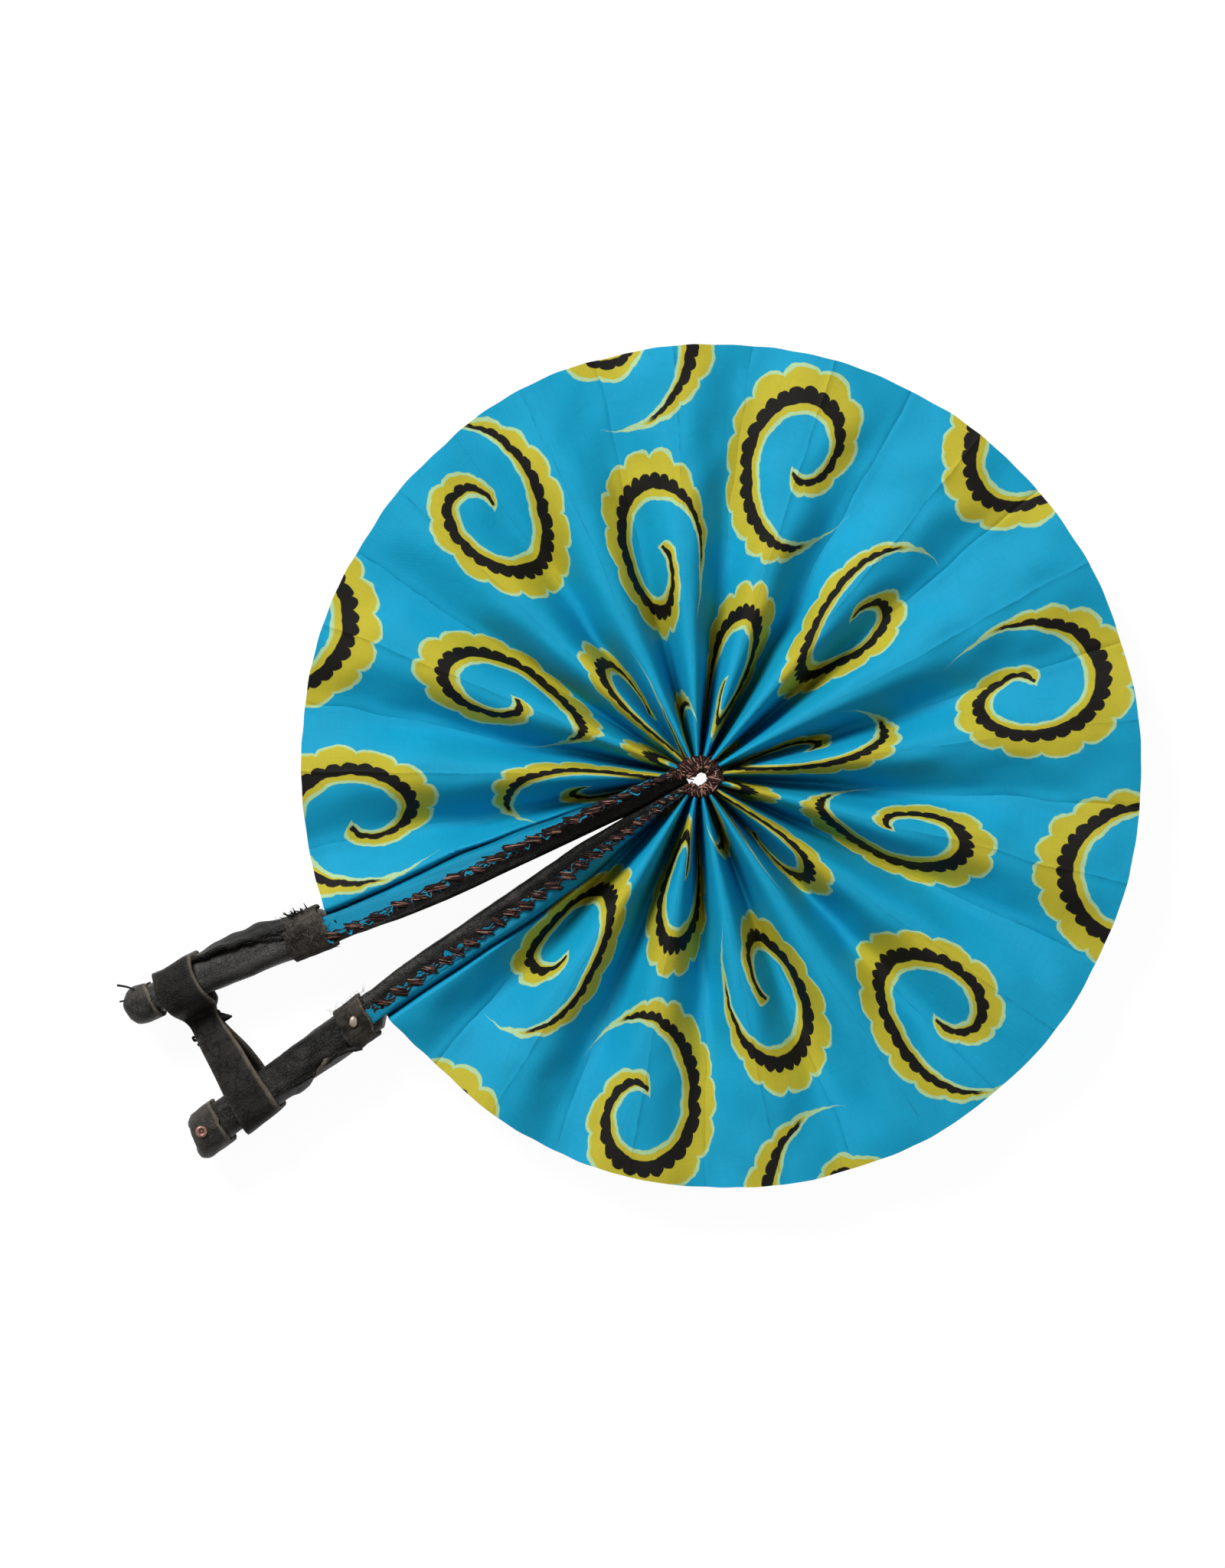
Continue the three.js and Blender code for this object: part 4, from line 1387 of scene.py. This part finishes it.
def strap():
    """One flat band of leather, with raw edges, that joins the two handles."""
    build = Build()
    line = strap_line()
    ahead = np.roll(line, -1, 0) - np.roll(line, 1, 0)
    ahead /= np.linalg.norm(ahead, axis=1, keepdims=True)
    out = np.stack([-ahead[:, 1], ahead[:, 0]], 1)
    if (out * (line - line.mean(0)))[:20].sum() < 0:
        out = -out
    far_along = np.arange(len(line)) / len(line) * STRAP_LENGTH
    buckle = wave_field(813, 9, 60, 12)
    under = smooth01((neck_level - line[:, 1] - 2) / 9)
    blur = np.hanning(9) / np.hanning(9).sum()
    halves = []
    for table, seed, more in ((STRAP_HUB_HALF, 811, 1.2), (STRAP_TIP_HALF, 812, -1.2)):
        half = np.interp(line[:, 0], *table)
        half = np.convolve(np.concatenate([half[-4:], half, half[:4]]), blur, "valid")
        halves.append(half + (0.3 * line_wave(seed, 30, 120)(far_along) + more * under))
    hub_half, tip_half = halves
    neck = np.exp(-((line[:, 0] - (neck_near + neck_far) / 2) / 6.0) ** 2)
    profile = [(-1.0, -0.5), (-1.0, 0.3), (-0.97, 0.9), (-0.92, 1.0)]
    profile += [(x, 1.0) for x in np.linspace(-0.8, 0.8, 9)]
    profile += [(0.96, 1.0), (1.0, 0.45), (1.0, -0.5), (0.96, -1.0)]
    profile += [(x, -1.0) for x in np.linspace(0.8, -0.8, 9)]
    profile += [(-0.96, -1.0)]
    rings = []
    for k, (y, z) in enumerate(line):
        ring = []
        for x, thick in profile:
            s = STRAP_CENTRE + x * (tip_half[k] if x > 0 else hub_half[k])
            wave = 0.22 * buckle(s, far_along[k]) * (1 - neck[k])
            across, height = np.array([y, z]) + out[k] * (thick * STRAP_LEATHER / 2 + wave)
            drawn = smooth01((s - DRAW_FROM) / DRAW_LENGTH) * smooth01((y - strap_middle - 2) / 5)
            across -= DRAW_BY * drawn
            ring.append((-s, across * s / STRAP_CENTRE, height))
        rings.append(ring)
    raw = [1.0 if x < -0.9 else 0.12 * (x > 0.9) for x, _ in profile]
    worn = [0.25 if abs(x) > 0.7 else 0.05 for x, _ in profile]
    build.add(loft(rings, looped=True), raw=raw * len(line), worn=worn * len(line))
    build.piece("strap_band", STRAP, "keeper", "strap_leather", "keeper_strap")


def neck_rows(build, rng):
    """Two rows of stitches across the neck."""
    top = neck_level + STRAP_LEATHER
    for down in STITCH_ROWS:
        for s in np.arange(STRAP_CENTRE - 5.6, STRAP_CENTRE + 4.4, 2.2):
            y = neck_near - down
            corners = [(s, top - 0.8), (s + 0.15, top + 0.35), (s + 1.4, top + 0.35), (s + 1.55, top - 0.8)]
            path = spline([(-a, y * a / STRAP_CENTRE + rng.normal(0, 0.1), z) for a, z in corners], 10)
            build.add(tube(path, SEWING_RADIUS, 6), tone=rng.uniform(0.0, 0.5))


def neck_knots(build, rng):
    """Loose turns of thread, heaped at a few places."""
    for s, y, size, count in KNOTS:
        for _ in range(count):
            turn = rng.uniform(0, 2 * math.pi) + np.linspace(0, 4.2, 12)
            tilt = rng.normal(0, 0.6, 2)
            wide = size * rng.uniform(0.35, 0.8)
            lean = tilt[0] * wide * np.cos(turn)
            high = neck_level + 0.6 + 0.5 * wide * np.sin(turn + tilt[1])
            path = np.stack([-s + wide * np.cos(turn), y + wide * np.sin(turn) + lean, high], 1)
            build.add(tube(path, SEWING_RADIUS, 5), tone=rng.uniform(0.0, 0.35))


def neck_end(build):
    """The end of the strap's under layer, turned out beside the neck."""
    grid = []
    for share in np.linspace(0, 1, 8):
        s, wide = END_FROM - END_LENGTH * share, END_HALF - 1.5 * share ** 1.5
        row = []
        for a in np.linspace(-1, 1, 8):
            curl = 0.4 + 1.1 * share ** 2 - 0.9 * a * a + 0.4 * math.sin(4 * share + 2.4 * a)
            row.append((-s - 0.7 * a * share, END_ACROSS - 1.3 * share + wide * a, neck_level + curl))
        grid.append(row)
    build.add(sheet_skin(grid, (0, 0, 1), STRAP_LEATHER / 4, STRAP_LEATHER / 4), tone=0.02)


def neck_stitches():
    """Black thread that sews the strap to itself at its neck, with its knots and a folded end."""
    rng = np.random.default_rng(71)
    build = Build()
    neck_rows(build, rng)
    neck_knots(build, rng)
    neck_end(build)
    build.piece("strap_neck_stitches", BLACK_THREAD, "keeper", None)


strap()
neck_stitches()


# Loose threads

HAIR_SIDE = 9.2               # from a handle's middle line to the side that hairs stand on
COLLAR_FIBRES = 120
# thick tufts beside the upper collar: distance from the hub, count and length
TUFTS = ((179.0, 14, 3.4), (174.6, 8, 2.4))
# thread ends at the upper cap: places (s, across from the middle line), and a radius
CAP_THREADS = ((((252.6, 5.2), (255.0, 7.6), (258.2, 9.7)), 0.5),
               (((257.5, 2.4), (259.0, 2.5), (260.6, 2.8)), 0.4))


def collar_fibres(build, rng):
    """Fibres that lie on the upper collar."""
    start, end = COLLARS[1]
    for _ in range(COLLAR_FIBRES):
        a = rng.uniform(start + 0.5, end)
        across = rng.uniform(-6.5, 7.5)
        aim = np.array([rng.normal(0, 1), rng.normal(0, 0.7), 0.0])
        aim /= np.linalg.norm(aim)
        far = rng.uniform(0.8, 2.4)
        bend = rng.normal(0, 0.6)
        path = []
        for t in np.linspace(-1, 1, 7):
            s, off = a + aim[0] * far * t, across + aim[1] * far * t + bend * t * t
            drop = 0.5 * max(0, abs(off) - 2.0) ** 2 / 12
            path.append((-s, handle_middle(s) + off, HANDLE_HIGH + COLLAR_GROW + 0.35 - drop))
        build.add(tube(path, rng.uniform(0.05, 0.11), 4), tone=np.clip(rng.normal(0.62, 0.3), 0, 1.1))


def upper_loose_threads(rng):
    """Frayed fibres of the upper collar and thread ends at the upper cap."""
    build = Build()
    start, end = COLLARS[1]
    for s in np.linspace(start - 0.5, end + 1.0, 30):
        origin = (-s, handle_middle(s) + HAIR_SIDE, HANDLE_HIGH - 1.5)
        hairs(build, origin, (-0.5, 0.8, 0.35), (0.5, 0.4, 0.8), 2.1, 2, rng, 0.10, 0.5)
    for s, count, length in TUFTS:
        origin = (-s, handle_middle(s) + HAIR_SIDE, HANDLE_HIGH - 3.0)
        hairs(build, origin, (-0.35, 0.9, 0.2), (1.0, 0.4, 0.6), length, count, rng, 0.42, 0.2)
    for across in np.linspace(-9, 9, 26):
        origin = (-start, handle_middle(start) + across, HANDLE_HIGH + 1.4 - 0.02 * across ** 2)
        hairs(build, origin, (0.9, 0.0, 0.2), (0.3, 0.4, 0.2), 2.4, 1, rng, 0.13, 0.55)
    collar_fibres(build, rng)
    for places, radius in CAP_THREADS:
        path = spline([(-s, handle_middle(s) + off, HANDLE_HIGH - 1.2) for s, off in places], 9)
        build.add(tube(path, radius * np.linspace(0.8, 1.0, 9), 6), tone=0.05)
    build.piece("upper_loose_threads", BLACK_THREAD, "upper_guard", None)


def lower_loose_threads(rng):
    """Frayed fibres of the lower collar."""
    build = Build()
    start, end = COLLARS[-1]
    for across in np.linspace(-9.5, 10.5, 30):
        origin = (-start, -handle_middle(start) + across, HANDLE_HIGH + 1.4 - 0.025 * across ** 2)
        hairs(build, origin, (0.7, 0.25, 0.4), (0.4, 0.4, 0.2), 2.6, 1, rng, 0.09, 1.0)
    for s in np.linspace(start - 4, end, 26):
        origin = (-s, -handle_middle(s) + HAIR_SIDE, HANDLE_HIGH - 3.0)
        hairs(build, origin, (0.4, 0.9, 0.3), (0.5, 0.3, 0.8), 2.8, 1, rng, 0.08, 1.15)
    build.piece("lower_loose_threads", BLACK_THREAD, "lower_guard", None)


thread_rng = np.random.default_rng(72)
upper_loose_threads(thread_rng)
lower_loose_threads(thread_rng)


# Tacks

# radius, height and darkness of a tack's head, from its edge to its middle
DOME = ((2.1, -0.5, 0.3), (2.4, -0.1, 0.3), (2.45, 0.25, 0.3), (2.2, 0.7, 0.0), (1.65, 0.98, 0.0),
        (1.0, 1.1, 0.0), (0.35, 1.12, 0.0))
EYELET = ((2.1, -0.5, 0.3), (2.5, -0.1, 0.3), (2.55, 0.3, 0.15), (2.25, 0.75, 0.0), (1.75, 0.95, 0.0),
          (1.3, 0.8, 0.1), (0.95, 0.4, 0.6), (0.75, 0.25, 0.9), (0.5, 0.42, 0.4), (0.15, 0.5, 0.2))


def tack(name, s, grow, profile, seed, material, narrow):
    """A tack's head. narrow is its width across the photograph's vertical, as a share of its length."""
    sides = 28
    build = Build()
    wobble = np.random.default_rng(seed).normal(0, 0.035, (len(profile), sides))
    middle = np.array([-s, TACK_ASIDE - handle_middle(s), HANDLE_HIGH + grow + SEAT_GAP])
    rings, hollow = [], []
    for n, (radius, height, dark) in enumerate(profile):
        ring = []
        for k in range(sides):
            angle = 2 * math.pi * k / sides
            r = radius * (1 + wobble[n, k] * 0.6)
            flat = r * math.cos(angle) * narrow * view_right + r * math.sin(angle) * view_up
            ring.append(middle + flat + [0, 0, height])
        rings.append(ring)
        hollow.append(np.full(sides, dark))
    build.add(loft(rings), hollow=hollow)
    build.piece(f"{name}_copper", material, "lower_guard", "tack_copper", name)


tack("collar_tack", sum(COLLARS[-1]) / 2, COLLAR_GROW, DOME, 81, WORN_COPPER, 0.72)
tack("cap_tack", CAP_END - CAP_TACK_INSET, CAP_GROW, EYELET, 82, COPPER, 1.0)


# Each panel's creases and middle azimuth, which nothing uses further

for i, made in cloth_pieces.items():
    ridge, valley = panel_ends(i)
    middle = (crease_azimuth(ridge) + crease_azimuth(valley)) / 2
    if ridge in (0, CREASES):
        prefix = "lower" if ridge else "upper"


# Floor, light and camera, in metres

FLOOR_HALF, FLOOR_GAP = 6.0, 0.0003
PAPER, SHADOW = (0.82, 0.82, 0.82), (0.085, 0.085, 0.085)
PAPER_GLOW = 0.955
SKY, SKY_STRENGTH = (0.95, 0.97, 1.0), 0.22
VIEW_LEFT, VIEW_DOWN = 0.0364, 0.0031   # from the hub to the photograph's middle
VIEW_HEIGHT = 0.6627          # that the frame covers from bottom to top, at the ridges
LENS, SENSOR = 110.0, 36.0    # millimetres
VIEW_REACH = 50.0             # farthest distance that the camera sees
# each light's place from the view's middle (right, up, above), its size and its power
LIGHTS = {"key": ((-0.75, 0.95, 1.25), 0.8, 30.0), "side": ((0.9, 0.0, 1.4), 1.2, 3.0)}


def floor():
    """White paper that takes shadows, and that the camera, gloss and glass see as a white glow."""
    size, z = FLOOR_HALF, float(cad_low.z) - FLOOR_GAP
    mesh = bpy.data.meshes.new("floor")
    mesh.from_pydata([(-size, -size, z), (size, -size, z), (size, size, z), (-size, size, z)], [],
                     [(0, 1, 2, 3)])
    made = bpy.data.objects.new("floor", mesh)
    bpy.context.scene.collection.objects.link(made)
    material, _ = new_material("floor_paper")
    tree = material.node_tree
    tree.nodes.clear()
    seen = new_node(tree, "LightPath", {}, "Is Camera Ray")
    for ray in ("Is Glossy Ray", "Is Transmission Ray"):
        seen = seen.math("MAXIMUM", new_node(tree, "LightPath", {}, ray))
    plain = new_node(tree, "BsdfDiffuse", {0: PAPER})
    shadow = new_node(tree, "BsdfDiffuse", {0: SHADOW})
    glow = new_node(tree, "Emission", {"Strength": PAPER_GLOW})
    white = new_node(tree, "AddShader", {0: shadow, 1: glow})
    shown = new_node(tree, "MixShader", {0: seen, 1: plain, 2: white})
    feed(tree.nodes.new("ShaderNodeOutputMaterial"), {0: shown})
    mesh.materials.append(material)


def backdrop():
    world = bpy.data.worlds.new("studio")
    bpy.context.scene.world = world
    world.use_nodes = True
    tree = world.node_tree
    tree.nodes.clear()
    seen = new_node(tree, "LightPath", {}, "Is Camera Ray")
    fill = new_node(tree, "Background", {0: SKY, 1: SKY_STRENGTH})
    white = new_node(tree, "Background", {0: (1, 1, 1), 1: 1.0})
    feed(tree.nodes.new("ShaderNodeOutputWorld"),
         {0: new_node(tree, "MixShader", {0: seen, 1: fill, 2: white})})


def area_light(name, place, aim, size, power):
    data = bpy.data.lights.new(name, "AREA")
    data.shape = "DISK"
    data.size = size
    data.energy = power
    made = bpy.data.objects.new(name, data)
    bpy.context.scene.collection.objects.link(made)
    made.location = place
    made.rotation_mode = "QUATERNION"
    made.rotation_quaternion = (Vector(aim) - Vector(place)).to_track_quat("-Z", "Y")


view_middle = np.array([HUB_X, 0.0, RIDGE_TOP * MM]) - VIEW_LEFT * view_right - VIEW_DOWN * view_up

floor()
backdrop()
for name, ((right, up, above), size, power) in LIGHTS.items():
    place = view_middle + up * view_up + right * view_right + np.array([0, 0, above])
    area_light(name, place, view_middle, size, power)

lens = bpy.data.cameras.new("camera")
lens.lens = LENS
lens.sensor_width = SENSOR
lens.sensor_fit = "AUTO"
lens.clip_end = VIEW_REACH
camera = bpy.data.objects.new("camera", lens)
bpy.context.scene.collection.objects.link(camera)
camera.location = view_middle + np.array([0, 0, VIEW_HEIGHT / SENSOR * LENS])
camera.rotation_euler = (0, 0, VIEW_TURN)
bpy.context.scene.camera = camera
bpy.context.scene.view_settings.view_transform = "Standard"
